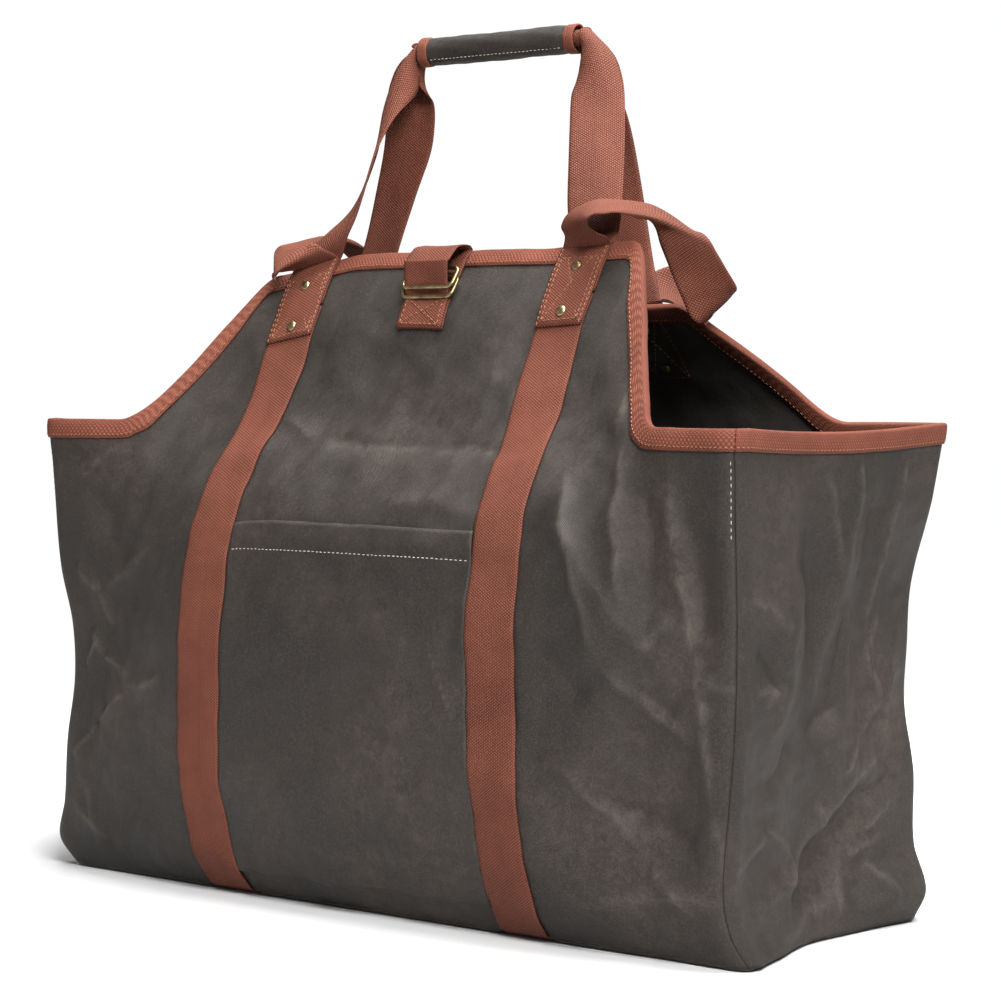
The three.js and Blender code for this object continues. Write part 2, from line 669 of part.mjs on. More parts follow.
function acrossOf(turn, lean, width) {
  const around = degToRad(turn);
  const upward = degToRad(lean);
  return vector(
    Math.cos(around) * Math.cos(upward),
    Math.sin(around) * Math.cos(upward),
    Math.sin(upward),
  ).multiplyScalar(width);
}

// Rings of free webbing through a list of stations, each with its centre, its width as a
// vector and its thickness. The first and last two stations only set the ends' direction.
function freeRings(stations) {
  const centres = new THREE.CatmullRomCurve3(stations.map((station) => station.centre));
  const widths = new THREE.CatmullRomCurve3(stations.map((station) => station.across), false, 'catmullrom');
  const spans = stations.length - 1;
  const rings = [];
  for (let k = routeSteps + 1; k < (spans - 1) * routeSteps; k += 1) {
    const along = k / routeSteps;
    const at = along / spans;
    const nudge = 0.25 / spans / routeSteps;
    const centre = centres.getPoint(at);
    const ahead = centres.getPoint(at + nudge).sub(centres.getPoint(at - nudge));
    const across = widths.getPoint(at);
    const before = stations[Math.floor(along)];
    const after = stations[Math.ceil(along)];
    const half = lerp(before.thick, after.thick, along - Math.floor(along)) / 2;
    const out = across.clone().cross(ahead).normalize();
    const corner = (side, face) => centre.clone()
      .addScaledVector(across, side / 2)
      .addScaledVector(out, face * half);
    rings.push([corner(-1, 1), corner(1, 1), corner(1, -1), corner(-1, -1)]);
  }
  return rings;
}

function webbing(startRings, stations, endRings) {
  const free = freeRings([
    ...startRings.slice(-2).map(stationOf),
    ...stations,
    ...endRings.slice(0, 2).map(stationOf),
  ]);
  return skin([...startRings, ...free, ...endRings]);
}

// One strap: up the front to the butt under the riveted patch, below the base, and up the back.
function strap(side) {
  const frontPair = stripColumns(frontGrid, side, [strapInner, strapOuter]);
  const backPair = stripColumns(backGrid, side, [strapInner, strapOuter]);
  const turnIn = 4;
  const flatRing = (grid, [left, right], inwards) => {
    const corner = (column, z) => vector(grid.points[column][0].x, grid.points[left][0].y + inwards, z);
    const level = webbingThickness;
    return [corner(left, 0), corner(right, 0), corner(right, level), corner(left, level)];
  };
  const underneath = [flatRing(frontGrid, frontPair, turnIn), flatRing(backGrid, backPair, -turnIn)];
  return skin([
    ...laidRings(frontGrid, frontPair, rowRange(buttRow, 0), 0),
    ...underneath,
    ...laidRings(backGrid, backPair, rowRange(0, buttRow), 0),
  ]);
}

// Rings of a carrying handle from its butt up to the top edge of the flap.
function handleFoot(grid, columns) {
  const rings = laidRings(grid, columns, rowRange(buttRow, topRow), 0);
  const rowSpacing = rings[0][0].distanceTo(rings[1][0]);
  rings[0] = mixRings(rings[0], rings[1], seamGap / rowSpacing);
  return rings;
}

function gripEnd(face, side) {
  const reach = gripLength / 2 + gripBandWidth;
  const aside = gatheredThickness / 2 + layerGap;
  return vector(gripShift + side * reach, gripSetback + face.facing * aside, gripHeight);
}

function handleStations(face, route, side, foot) {
  const from = stationOf(foot[foot.length - 1]);
  const to = gripEnd(face, side);
  const gather = (wide) => (1 - wide) * webbingWidth / (webbingWidth - gatheredWidth);
  return route.map((row) => ({
    centre: vector(
      lerp(from.centre.x, to.x, row.in),
      lerp(from.centre.y, to.y, row.back),
      lerp(from.centre.z, to.z, row.rise),
    ),
    across: acrossOf(row.turn, row.lean, row.wide * webbingWidth),
    thick: lerp(webbingThickness, gatheredThickness, gather(row.wide)),
  }));
}

// A carrying handle: up one strap line, gathered through the grip, and down the other.
function handle(face, grid, leftRoute, rightRoute) {
  const pair = (side) => {
    const columns = stripColumns(grid, side, [strapInner, strapOuter]);
    return side * face.facing > 0 ? columns : columns.reverse();
  };
  const leftFoot = handleFoot(grid, pair(-1));
  const rightFoot = handleFoot(grid, pair(1));
  const flipped = (station) => ({ ...station, across: station.across.clone().negate() });
  const gathered = [-1, -0.4, 0.4, 1].map((share) => ({
    centre: gripEnd(face, share),
    across: vector(0, 0, face.facing * gatheredWidth),
    thick: gatheredThickness,
  }));
  return webbing(
    leftFoot,
    [
      ...handleStations(face, leftRoute, -1, leftFoot),
      ...gathered,
      ...handleStations(face, rightRoute, 1, rightFoot).map(flipped).reverse(),
    ],
    [...rightFoot].reverse(),
  );
}

function sideHandle(side, route) {
  const rows = rowRange(patchRow, topRow);
  const front = laidRings(frontGrid, stripColumns(frontGrid, side, [strapInner, strapOuter]), rows, 1);
  const backColumns = stripColumns(backGrid, side, [strapInner, strapOuter]);
  const back = laidRings(backGrid, backColumns, rows, 1).reverse();
  const from = stationOf(front[front.length - 1]).centre;
  const to = stationOf(back[0]).centre;
  const stations = route.map((row) => ({
    centre: vector(
      side * (strapReach + row.out * sideHandleReach),
      lerp(from.y, to.y, row.back),
      frontFlapHeight + row.rise * sideHandleRise,
    ),
    across: acrossOf(row.turn, row.lean, row.wide * webbingWidth),
    thick: webbingThickness,
  }));
  return webbing(front, stations, back);
}

// The ring tab runs up the flap, over the edge and down again in front of itself. forward and
// rise are shares of the loop's depth and rise.
const tabRoute = [
  { forward: 0.0, rise: 0.5 },
  { forward: 0.1, rise: 0.9 },
  { forward: 0.4, rise: 1.0 },
  { forward: 0.8, rise: 0.6 },
  { forward: 1.0, rise: -0.17 },
  { forward: 1.23, rise: -1.4 },
  { forward: 1.41, rise: -2.5 },
  { forward: 1.5, rise: -3.15 },
];

const tabColumns = stripColumns(frontGrid, 0, [webbingWidth / 2]);
const tabUp = laidRings(frontGrid, tabColumns, rowRange(patchRow, topRow), 0);
const tabTop = stationOf(tabUp[tabUp.length - 1]).centre;
const tabButt = stationOf(laidRing(frontGrid, tabColumns, buttRow, layerOffsets(buttRow, 1))).centre;

// Middle of the tab at a row of its route.
function tabPoint(row) {
  return vector(0, tabTop.y - row.forward * tabLoopDepth, tabTop.z + row.rise * tabLoopRise);
}

function ringTab() {
  const down = rowRange(buttRow, patchRow).map((row) => (
    laidRing(frontGrid, tabColumns, row, [...layerOffsets(row, 1)].reverse())));
  const stations = tabRoute.map((row) => ({
    centre: tabPoint(row),
    across: vector(webbingWidth, 0, 0),
    thick: webbingThickness,
  }));
  return webbing(tabUp, stations, down);
}

// A wire ring bent to a rectangle with round corners. It hangs in the loop with its lower bar
// in front of the tab, and step moves it off its neighbour.
function wireRing(step) {
  const wireSides = 6;
  const cornerSteps = 4;
  const tilt = degToRad(ringTilt);
  const upward = vector(0, Math.sin(tilt), Math.cos(tilt));
  const normal = vector(0, Math.cos(tilt), -Math.sin(tilt));
  const tabFront = tabPoint(tabRoute[tabRoute.length - 1]).lerp(tabButt, ringSeat);
  const centre = vector(0, tabFront.y + ringSetback, tabTop.z - ringDrop)
    .addScaledVector(normal, step * ringStep)
    .addScaledVector(upward, -step * ringSlide);
  const straightX = ringWidth / 2 - ringCorner;
  const straightY = ringHeight / 2 - ringCorner;
  const rings = [];
  for (let k = 0; k < 4 * cornerSteps; k += 1) {
    const quarter = Math.floor(k / cornerSteps);
    const angle = (quarter + (k % cornerSteps) / (cornerSteps - 1)) * Math.PI / 2;
    const outward = vector(Math.cos(angle), 0, 0).addScaledVector(upward, Math.sin(angle));
    const signX = quarter === 0 || quarter === 3 ? 1 : -1;
    const signY = quarter < 2 ? 1 : -1;
    const along = centre.clone()
      .addScaledVector(upward, signY * straightY)
      .addScaledVector(outward, ringCorner);
    along.x += signX * straightX;
    rings.push(Array.from({ length: wireSides }, (_, side) => {
      const around = (side + 0.5) / wireSides * 2 * Math.PI;
      return along.clone()
        .addScaledVector(outward, Math.cos(around) * ringWire / 2)
        .addScaledVector(normal, Math.sin(around) * ringWire / 2);
    }));
  }
  return skin(rings, true);
}

// Flat oval sleeve round the gathered webbing, between two places along X.
function gripSleeve(from, to, wall) {
  const sides = 16;
  const rings = Array.from({ length: sides }, (_, k) => {
    const angle = k / sides * 2 * Math.PI;
    const point = (x, inward) => vector(
      gripShift + x,
      gripSetback + Math.cos(angle) * (gripDeep / 2 - inward),
      gripHeight + Math.sin(angle) * (gripTall / 2 - inward),
    );
    return [point(from, 0), point(to, 0), point(to, wall), point(from, wall)];
  });
  return skin(rings, true);
}

// Open pocket between the straps, sewn down along its foot and sides.
function pocket() {
  const outermost = stripColumns(frontGrid, -1, [strapInner, strapOuter])[1];
  const last = frontGrid.columns.length - 1 - outermost;
  const [footRow] = pocketRows;
  const spacing = frontGrid.points[outermost][footRow].distanceTo(frontGrid.points[outermost + 1][footRow]);
  const sideGap = seamGap / spacing;
  const columns = rowRange(outermost, last);
  const edge = (column) => clamp(column, outermost + sideGap, last - sideGap);
  return skin(columns.map((column) => {
    const spot = edge(column);
    const line = (offset) => rowRange(...pocketRows).map((row) => (
      frontGrid.at(Math.floor(spot), row, offset)
        .lerp(frontGrid.at(Math.ceil(spot), row, offset), spot % 1)));
    return [...line(layerGap + clothThickness), ...line(layerGap).reverse()];
  }));
}

// Rivets through the patches. row and share place them between two rows of the cloth's grid.
const rivetPlaces = [
  { name: 'lower', row: patchRow, share: 0.36 },
  { name: 'upper', row: buttRow, share: 0.68 },
];

function rivetAxis(grid, side, { row, share }) {
  const columns = stripColumns(grid, side, [strapInner, strapOuter]);
  const seatAt = (level) => {
    const [left, right] = columns.map((column) => grid.points[column][level]);
    return left.clone().lerp(right, 0.5);
  };
  const low = seatAt(row);
  const high = seatAt(row + 1);
  const across = grid.points[columns[1]][row].clone().sub(grid.points[columns[0]][row]);
  const outward = across.cross(high.clone().sub(low)).normalize();
  const climb = (liftAt(row + 1) - liftAt(row)) / high.distanceTo(low);
  const lift = lerp(liftAt(row), liftAt(row + 1), share);
  return {
    seat: low.lerp(high, share),
    outward: outward.y * grid.outward[columns[0]][row].y < 0 ? outward.negate() : outward,
    capAt: lift + 2 * webbingThickness + 2 * layerGap + climb * rivetCapRadius,
  };
}

function rivet({ seat, outward, capAt }) {
  const sides = 8;
  const backAt = -clothThickness - layerGap;
  const rim = 0.4;
  const backHeight = 1.1;
  const profile = [
    [0, backAt - backHeight],
    [rivetBackRadius - rim, backAt - backHeight],
    [rivetBackRadius, backAt],
    [rivetShankRadius, backAt],
    [rivetShankRadius, capAt],
    [rivetCapRadius, capAt],
    [rivetCapRadius - rim, capAt + rivetCapHeight * 0.6],
    [rivetCapRadius * 0.5, capAt + rivetCapHeight],
    [0, capAt + rivetCapHeight],
  ].map(([radius, height]) => new THREE.Vector2(radius, height));
  return facingOut(mergeVertices(placed(new THREE.LatheGeometry(profile, sides), seat, outward)));
}

function placed(geometry, seat, outward) {
  geometry.deleteAttribute('normal');
  geometry.deleteAttribute('uv');
  geometry.applyQuaternion(new THREE.Quaternion().setFromUnitVectors(vector(0, 1, 0), outward));
  return geometry.translate(seat.x, seat.y, seat.z);
}

function rivetDrill({ seat, outward }) {
  const sides = 8;
  const length = 30;
  const drill = new THREE.CylinderGeometry(rivetHoleRadius, rivetHoleRadius, length, sides);
  return solidOf(placed(drill, seat, outward));
}

function drilled(geometry, axes) {
  const drills = axes.map(rivetDrill);
  return meshOf(drills.reduce((solid, drill) => solid.subtract(drill), solidOf(geometry)));
}

// Assembly

const grids = { front: frontGrid, back: backGrid };
const axes = [];
for (const faceName of ['front', 'back']) {
  for (const side of [-1, 1]) {
    for (const rivetPlace of rivetPlaces) {
      axes.push({ faceName, side, ...rivetPlace, ...rivetAxis(grids[faceName], side, rivetPlace) });
    }
  }
}
const axesOf = (wanted) => axes.filter((axis) => (
  Object.keys(wanted).every((key) => axis[key] === wanted[key])));
const sideNames = { '-1': 'left', 1: 'right' };

addPart('front_panel', 'canvas', drilled(clothPanel(frontGrid), axesOf({ faceName: 'front' })));
addPart('back_panel', 'canvas', drilled(clothPanel(backGrid), axesOf({ faceName: 'back' })));
addPart('end_panel_left', 'canvas', clothPanel(endGrids.left));
addPart('end_panel_right', 'canvas', clothPanel(endGrids.right));
addPart('base_panel', 'canvas', basePanel());
addPart('front_pocket', 'canvas', pocket());
addPart('binding_front', 'binding', bindingTape(frontGrid));
addPart('binding_back', 'binding', bindingTape(backGrid));
addPart('binding_end_left', 'binding', bindingTape(endGrids.left));
addPart('binding_end_right', 'binding', bindingTape(endGrids.right));

for (const side of [-1, 1]) {
  const name = sideNames[side];
  addPart(`strap_${name}`, 'webbing', drilled(strap(side), axesOf({ side, name: 'lower' })));
  addPart(`side_handle_${name}`, 'webbing', drilled(sideHandle(side, sideRoutes[name]), axesOf({ side })));
}

const frontHandle = handle(faces.front, frontGrid, handleRoutes.frontLeft, handleRoutes.frontRight);
const backHandle = handle(faces.back, backGrid, handleRoutes.backLeft, handleRoutes.backRight);
addPart('handle_front', 'webbing', drilled(frontHandle, axesOf({ faceName: 'front', name: 'upper' })));
addPart('handle_back', 'webbing', drilled(backHandle, axesOf({ faceName: 'back', name: 'upper' })));

const gripHalf = gripLength / 2;
addPart('grip_wrap', 'canvas', gripSleeve(-gripHalf, gripHalf, clothThickness));
const bandInner = gripHalf + seamGap;
const bandOuter = gripHalf + gripBandWidth;
addPart('grip_band_left', 'binding', gripSleeve(-bandOuter, -bandInner, clothThickness));
addPart('grip_band_right', 'binding', gripSleeve(bandInner, bandOuter, clothThickness));

addPart('ring_tab', 'webbing', ringTab());
addPart('ring_outer', 'brass', wireRing(0));
addPart('ring_inner', 'brass', wireRing(1));

for (const axis of axes) {
  addPart(`rivet_${axis.faceName}_${sideNames[axis.side]}_${axis.name}`, 'brass', rivet(axis));
}

export default group;
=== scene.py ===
import math

import bmesh
import bpy
import numpy as np
from mathutils import Matrix, Vector


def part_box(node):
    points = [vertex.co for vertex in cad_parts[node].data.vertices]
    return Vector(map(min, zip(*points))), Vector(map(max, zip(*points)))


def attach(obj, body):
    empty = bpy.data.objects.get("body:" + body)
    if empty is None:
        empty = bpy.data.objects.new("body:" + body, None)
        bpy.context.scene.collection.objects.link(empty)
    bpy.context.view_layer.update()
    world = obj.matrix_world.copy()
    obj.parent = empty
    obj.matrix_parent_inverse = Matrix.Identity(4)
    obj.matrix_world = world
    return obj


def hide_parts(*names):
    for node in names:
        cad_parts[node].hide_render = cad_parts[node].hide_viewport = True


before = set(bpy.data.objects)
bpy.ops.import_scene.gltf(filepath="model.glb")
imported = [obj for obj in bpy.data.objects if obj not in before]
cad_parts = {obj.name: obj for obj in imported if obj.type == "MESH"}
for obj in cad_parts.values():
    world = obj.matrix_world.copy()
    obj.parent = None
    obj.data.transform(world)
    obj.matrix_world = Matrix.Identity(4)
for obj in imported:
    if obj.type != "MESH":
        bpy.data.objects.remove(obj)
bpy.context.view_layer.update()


# Panels. The real ones are heavy cotton canvas, waxed by hand, rubbed pale along the folds.
# The front and back are cut tall with sloping shoulders and the two ends low, and all four
# are sewn together at the corners. One small class turns shader sums into plain arithmetic.

class Sock:
    def __init__(self, tree, out=None):
        self.tree, self.out = tree, out

    def node(self, kind, pick=0, **inputs):
        node = self.tree.nodes.new(kind)
        for key in [k for k in inputs if k[0] == "_"]:
            setattr(node, key[1:], inputs.pop(key))
        for key, value in inputs.items():
            entry = node.inputs[int(key[2:]) if key[:2] == "in" else key]
            if isinstance(value, Sock):
                self.tree.links.new(value.out, entry)
            else:
                entry.default_value = value
        return Sock(self.tree, node.outputs[pick])

    def op(self, kind, *others):
        terms = {f"in{slot}": value for slot, value in enumerate((self, *others))}
        return self.node("ShaderNodeMath", _operation=kind, **terms)

    def __add__(self, other):
        return self.op("ADD", other)

    def __mul__(self, other):
        return self.op("MULTIPLY", other)

    def __pow__(self, other):
        return self.op("POWER", other)

    __radd__ = __add__
    __rmul__ = __mul__


def finish_of(name, roughness, metallic=0.0, specular=0.5):
    material = bpy.data.materials.new(name)
    material.use_nodes = True
    tree = material.node_tree
    shader = tree.nodes["Principled BSDF"]
    shader.inputs["Specular IOR Level"].default_value = specular
    shader.inputs["Roughness"].default_value = roughness
    shader.inputs["Metallic"].default_value = metallic
    return material, shader, Sock(tree)


def wire(start, value, shader, entry):
    start.tree.links.new(value.out, shader.inputs[entry])


def attribute(start, name):
    return start.node("ShaderNodeAttribute", "Vector", _attribute_name=name)


def part_of(vector, axis):
    return vector.node("ShaderNodeSeparateXYZ", axis, in0=vector)


def noise(start, place, scale, detail=4.0, rough=0.55, distortion=0.0):
    return start.node("ShaderNodeTexNoise", Vector=place, Scale=scale, Detail=detail,
                      Roughness=rough, Distortion=distortion)


def ramp(start, value, low, high, out_low=0.0, out_high=1.0):
    return start.node("ShaderNodeMapRange", in0=value, in1=low, in2=high, in3=out_low, in4=out_high)


def blend(start, share, low, high):
    return start.node("ShaderNodeMix", 2, _data_type="RGBA", in0=share, in6=low, in7=high)


def object_place(start):
    return start.node("ShaderNodeTexCoord", "Object")


def bump(start, height, strength, distance):
    return start.node("ShaderNodeBump", Strength=strength, Distance=distance, Height=height)


# Waxed canvas: dark charcoal brown, mottled, with paler rubbed creases and a fine weave.
def canvas_finish(name, inside=False):
    material, shader, start = finish_of(name, 0.6, specular=0.24)
    place = object_place(start)
    wax = part_of(attribute(start, "crease"), 0)
    broad = noise(start, place, 7.0, 5.0, 0.62, 0.6)
    cloud = noise(start, place, 30.0, 6.0, 0.66, 0.5)
    scuff = noise(start, place, 130.0, 5.0, 0.7, 0.8)
    grain = noise(start, place, 750.0, 3.0, 0.8)
    sheet = attribute(start, "sheet")
    across = (part_of(sheet, 0) * (2 * math.pi / 1.15)).op("SINE")
    along = (part_of(sheet, 1) * (2 * math.pi / 1.15)).op("SINE")
    weave = across * along
    rubbed = ramp(start, wax, 0.04, 0.8) * ramp(start, scuff, 0.3, 0.62)
    worn = ramp(start, broad, 0.47, 0.66) * ramp(start, scuff, 0.38, 0.7)
    tone = ramp(start, broad, 0.3, 0.72) * 0.5 + ramp(start, cloud, 0.34, 0.68) * 0.5
    dark, mid, warm, pale = ((0.0095, 0.0078, 0.0065, 1), (0.0225, 0.0182, 0.0151, 1),
                             (0.05, 0.0355, 0.029, 1), (0.125, 0.103, 0.087, 1))
    if inside:
        dark, mid = (0.036, 0.032, 0.029, 1), (0.056, 0.051, 0.046, 1)
    color = blend(start, tone, dark, mid)
    color = blend(start, worn * 0.75, color, warm)
    color = blend(start, rubbed * 0.5, color, pale)
    color = blend(start, ramp(start, grain, 0.45, 0.68) * 0.19, color, pale)
    color = blend(start, ramp(start, weave, 0.1, 0.9) * 0.06, color, pale)
    wire(start, color, shader, "Base Color")
    wire(start, ramp(start, cloud, 0.3, 0.7, 0.5, 0.68), shader, "Roughness")
    height = weave * 0.14 + grain * 0.18 + scuff * 0.3 + cloud * 0.35
    wire(start, bump(start, height, 0.55, 0.0012), shader, "Normal")
    return material


canvas = canvas_finish("waxed_canvas")
lining = canvas_finish("waxed_canvas_inside", inside=True)

# The shape of the cloth, in millimetres. A tall panel is read at a signed distance along it
# and a share up it: 1 is the lower edge of the binding and 2 the top edge.
HALF_LENGTH, HALF_DEPTH, RIM, HEM = 305.0, 124.0, 332.0, 2.4
STRAP_X, WEB, WEB_T, CLOTH, GAP = 123.5, 38.5, 1.6, 1.8, 0.3
STRAP_IN, STRAP_OUT = STRAP_X - WEB / 2, STRAP_X + WEB / 2
SLOPE_TOP, SLOPE_RUN, CORNER = STRAP_OUT + 22, 61.0, 14.0
SLOPE_FOOT = SLOPE_TOP + SLOPE_RUN
SLOPE_END = SLOPE_FOOT + 0.2 * SLOPE_RUN
SPAN_END = SLOPE_END + 50
Q_MAX = SPAN_END + CORNER * math.pi / 4 - 0.15
BIND, END_WIDE, MM = 12.5, 240.0, 0.001


def curve(xs, ys):
    xs, ys = np.array(xs, float), np.array(ys, float)
    slopes = np.empty(len(xs))
    slopes[1:-1] = (ys[2:] - ys[:-2]) / (xs[2:] - xs[:-2])
    slopes[0] = (ys[1] - ys[0]) / (xs[1] - xs[0])
    slopes[-1] = (ys[-1] - ys[-2]) / (xs[-1] - xs[-2])

    def at(value):
        i = np.clip(np.searchsorted(xs, value) - 1, 0, len(xs) - 2)
        span = xs[i + 1] - xs[i]
        t = np.clip((value - xs[i]) / span, 0, 1)
        ends = ys[i] * (2 * t ** 3 - 3 * t ** 2 + 1) + ys[i + 1] * (3 * t ** 2 - 2 * t ** 3)
        return ends + (slopes[i] * (t ** 3 - 2 * t ** 2 + t) + slopes[i + 1] * (t ** 3 - t ** 2)) * span

    return at


front_rows = np.array([
    (0.0, 0.84, 0.84, 0.05), (0.055, 1.0, 0.93, 0.06), (0.133, 1.09, 0.97, 0.065),
    (0.222, 1.14, 0.99, 0.06), (0.333, 1.145, 1.0, 0.04), (0.444, 1.14, 1.0, 0.03),
    (0.556, 1.09, 1.0, 0.02), (0.622, 0.995, 1.0, 0.0), (0.667, 0.89, 1.0, -0.01),
    (0.738, 0.7, 1.0, -0.03), (0.778, 0.62, 0.9, -0.035), (0.833, 0.52, 0.74, -0.045),
    (0.889, 0.43, 0.55, -0.045), (0.944, 0.32, 0.34, -0.04), (1.0, 0.18, 0.18, -0.04)])
back_rows = np.array([
    (0.0, 0.82, 0.84, 0.05), (0.055, 0.98, 0.93, 0.05), (0.146, 1.08, 0.97, 0.05),
    (0.243, 1.16, 0.99, 0.04), (0.364, 1.2, 1.0, 0.03), (0.485, 1.2, 1.0, 0.02),
    (0.607, 1.15, 1.0, 0.01), (0.68, 1.07, 1.0, 0.0), (0.728, 0.98, 1.0, 0.0),
    (0.806, 0.81, 1.0, 0.0), (0.85, 0.71, 0.93, 0.0), (0.886, 0.6, 0.84, 0.0),
    (0.922, 0.48, 0.7, 0.0), (0.96, 0.34, 0.48, 0.0), (1.0, 0.2, 0.2, 0.0)])
corner_up = [0.0, 0.06, 0.15, 0.3, 0.43, 0.55, 0.68, 0.85, 1.0]
corner_reach = {
    (-1, -1): curve(corner_up, [0.985, 1.015, 0.98, 0.955, 0.925, 0.93, 0.97, 0.99, 1.005]),
    (1, -1): curve(corner_up, [0.99, 1.0, 0.97, 0.96, 0.94, 0.94, 0.95, 0.985, 1.01]),
    (-1, 1): curve(corner_up, [0.99, 0.965, 0.955, 0.975, 0.99, 0.995, 0.995, 0.99, 0.99]),
    (1, 1): curve(corner_up, [0.99, 1.005, 0.965, 0.955, 0.93, 0.935, 0.945, 0.995, 1.025]),
}
end_sag = curve(corner_up, [0.1, 0.11, 0.08, 0.05, 0.04, 0.04, 0.03, 0.02, 0.02])
folds = {
    "front": [(0.85, 0.62, 0.11, 0.34, 0.035, 0.25), (0.91, 0.3, 0.1, 0.25, -0.03, 0.1),
              (0.1, 0.55, 0.12, 0.16, -0.045, 0.6), (0.12, 0.25, 0.14, 0.14, 0.03, -0.5)],
    "back": [(0.12, 0.6, 0.12, 0.3, 0.035, 0.2), (0.9, 0.4, 0.12, 0.3, -0.035, -0.2)],
    "right": [(0.2, 0.45, 0.1, 0.4, 0.05, 0.05), (0.4, 0.65, 0.1, 0.35, -0.06, -0.15),
              (0.6, 0.5, 0.11, 0.3, 0.06, 0.2), (0.8, 0.7, 0.1, 0.3, -0.05, 0.1),
              (0.5, 0.12, 0.16, 0.12, -0.08, 0.4)],
    "left": [(0.25, 0.6, 0.1, 0.35, -0.05, 0.1), (0.5, 0.5, 0.12, 0.35, 0.05, -0.1),
             (0.75, 0.45, 0.11, 0.35, -0.06, 0.15)],
}
faces = {}
for facing, name, height, rows, droop in ((-1, "front", 450.0, front_rows, (14.0, -3.0)),
                                          (1, "back", 412.0, back_rows, (0.0, 0.0))):
    faces[facing] = dict(facing=facing, name=name, height=height, droop=droop,
                         middle=curve(rows[:, 0], rows[:, 1]), edge=curve(rows[:, 0], rows[:, 2]),
                         aside=curve(rows[:, 0], rows[:, 3]))


def smooth(value, low, high):
    t = np.clip((value - low) / (high - low), 0, 1)
    return t * t * (3 - 2 * t)


def mix(low, high, share):
    return low + (high - low) * share


def ease_in(t, soften):
    eased = (t + soften) ** 2 / (4 * soften)
    return np.where(t <= -soften, 0, np.where(t >= soften, t, eased))


def face_top(face, reach, side):
    t = (reach - SLOPE_TOP) / SLOPE_RUN
    droop = np.where(side < 0, *face["droop"]) * smooth(reach, 0.8 * STRAP_IN, SLOPE_TOP)
    return mix(face["height"] - droop, RIM, ease_in(t, 0.13) - ease_in(t - 1, 0.2))


def binding_drop(face, reach, side):
    slope = (face_top(face, reach + 1, side) - face_top(face, reach - 1, side)) / 2
    top = face_top(face, reach, side) / face["height"]
    fall = [(face[k](top) - face[k](top - 0.03)) * HALF_DEPTH / (0.03 * face["height"])
            for k in ("middle", "edge")]
    stretch = 1 + np.where(reach < SLOPE_FOOT, *fall) ** 2
    return BIND * np.sqrt((1 + slope ** 2 * stretch) / stretch)


def fold_height(panel, along, up, length):
    total = 0
    for at, level, wide, tall, out, lean in folds[panel]:
        rise = (up - level) * RIM
        aside = (along - at) * length - lean * rise
        spread = (aside / (wide * 2 * HALF_DEPTH)) ** 2 + (rise / (tall * RIM)) ** 2
        total = total + out * HALF_DEPTH * np.exp(-spread)
    return total


def corner_at(face, side, z):
    right = corner_reach[(face["facing"], 1)](z / RIM)
    left = corner_reach[(face["facing"], -1)](z / RIM)
    return HALF_LENGTH * np.where(side < 0, left, right), HALF_DEPTH * face["edge"](z / face["height"])


def face_plain(face, q, share):
    q, share = np.broadcast_arrays(np.asarray(q, float), np.asarray(share, float))
    side, reach = np.where(q < 0, -1, 1), np.abs(q)
    near = np.minimum(reach, SLOPE_END)
    top = face_top(face, near, side)
    low = top - binding_drop(face, near, side)
    z = np.where(share <= 1, mix(HEM, low, share), mix(low, top, share - 1))
    corner_x, corner_y = corner_at(face, side, z)
    flat = corner_x - CORNER
    span = mix(SLOPE_END, flat, np.clip((reach - SLOPE_END) / 50, 0, 1))
    x = np.where(reach < SLOPE_END, reach, span)
    away = smooth(x, STRAP_OUT, flat)
    along = 0.5 - face["facing"] * side * x / (2 * HALF_LENGTH)
    fold = fold_height(face["name"], along, z / RIM, 2 * HALF_LENGTH) * 4 * away * (1 - away)
    drift = face["aside"](z / face["height"]) * HALF_DEPTH * smooth(x, 0, STRAP_IN) * (1 - away)
    middle = face["middle"](z / face["height"]) * HALF_DEPTH
    angle = np.clip((reach - SPAN_END) / CORNER, 0, None)
    y = mix(middle, corner_y, away) + fold - CORNER * (1 - np.cos(angle))
    return np.stack([side * (x + drift + CORNER * np.sin(angle)), face["facing"] * y, z], -1)


def end_plain(side, t, share):
    t, share = np.broadcast_arrays(np.asarray(t, float), np.asarray(share, float))
    low = RIM - binding_drop(faces[-1], np.full(t.shape, SLOPE_END), side)
    z = np.where(share <= 1, mix(HEM, low, share), mix(low, RIM, share - 1))
    front_x, front_y = corner_at(faces[-1], side, z)
    back_x, back_y = corner_at(faces[1], side, z)
    across = np.clip(t, 0, 1)
    belly = 4 * across * (1 - across)
    along = across if side > 0 else 1 - across
    fold = fold_height("right" if side > 0 else "left", along, z / RIM, 2 * HALF_DEPTH)
    x = mix(front_x, back_x, across) + belly * (fold - end_sag(z / RIM) * HALF_DEPTH)
    y = mix(CORNER - front_y, back_y - CORNER, across)
    beyond = np.maximum(-t, t - 1).clip(0) * 100 / CORNER
    x = x - CORNER * (1 - np.cos(beyond))
    y = y + np.where(t < 0, -1, 1) * CORNER * np.sin(beyond)
    return np.stack([side * x, y, z - 4 * belly * (z / RIM) ** 2], -1)


T_OVER = (CORNER * math.pi / 4 - 0.15) / 100

seeds = np.random.default_rng(7)
CREASE_GAIN, CALM_TOP = 1.5, 0.35
waves = {panel: seeds.uniform(-1, 1, (26, 4)) for panel in ("front", "back", "left", "right")}

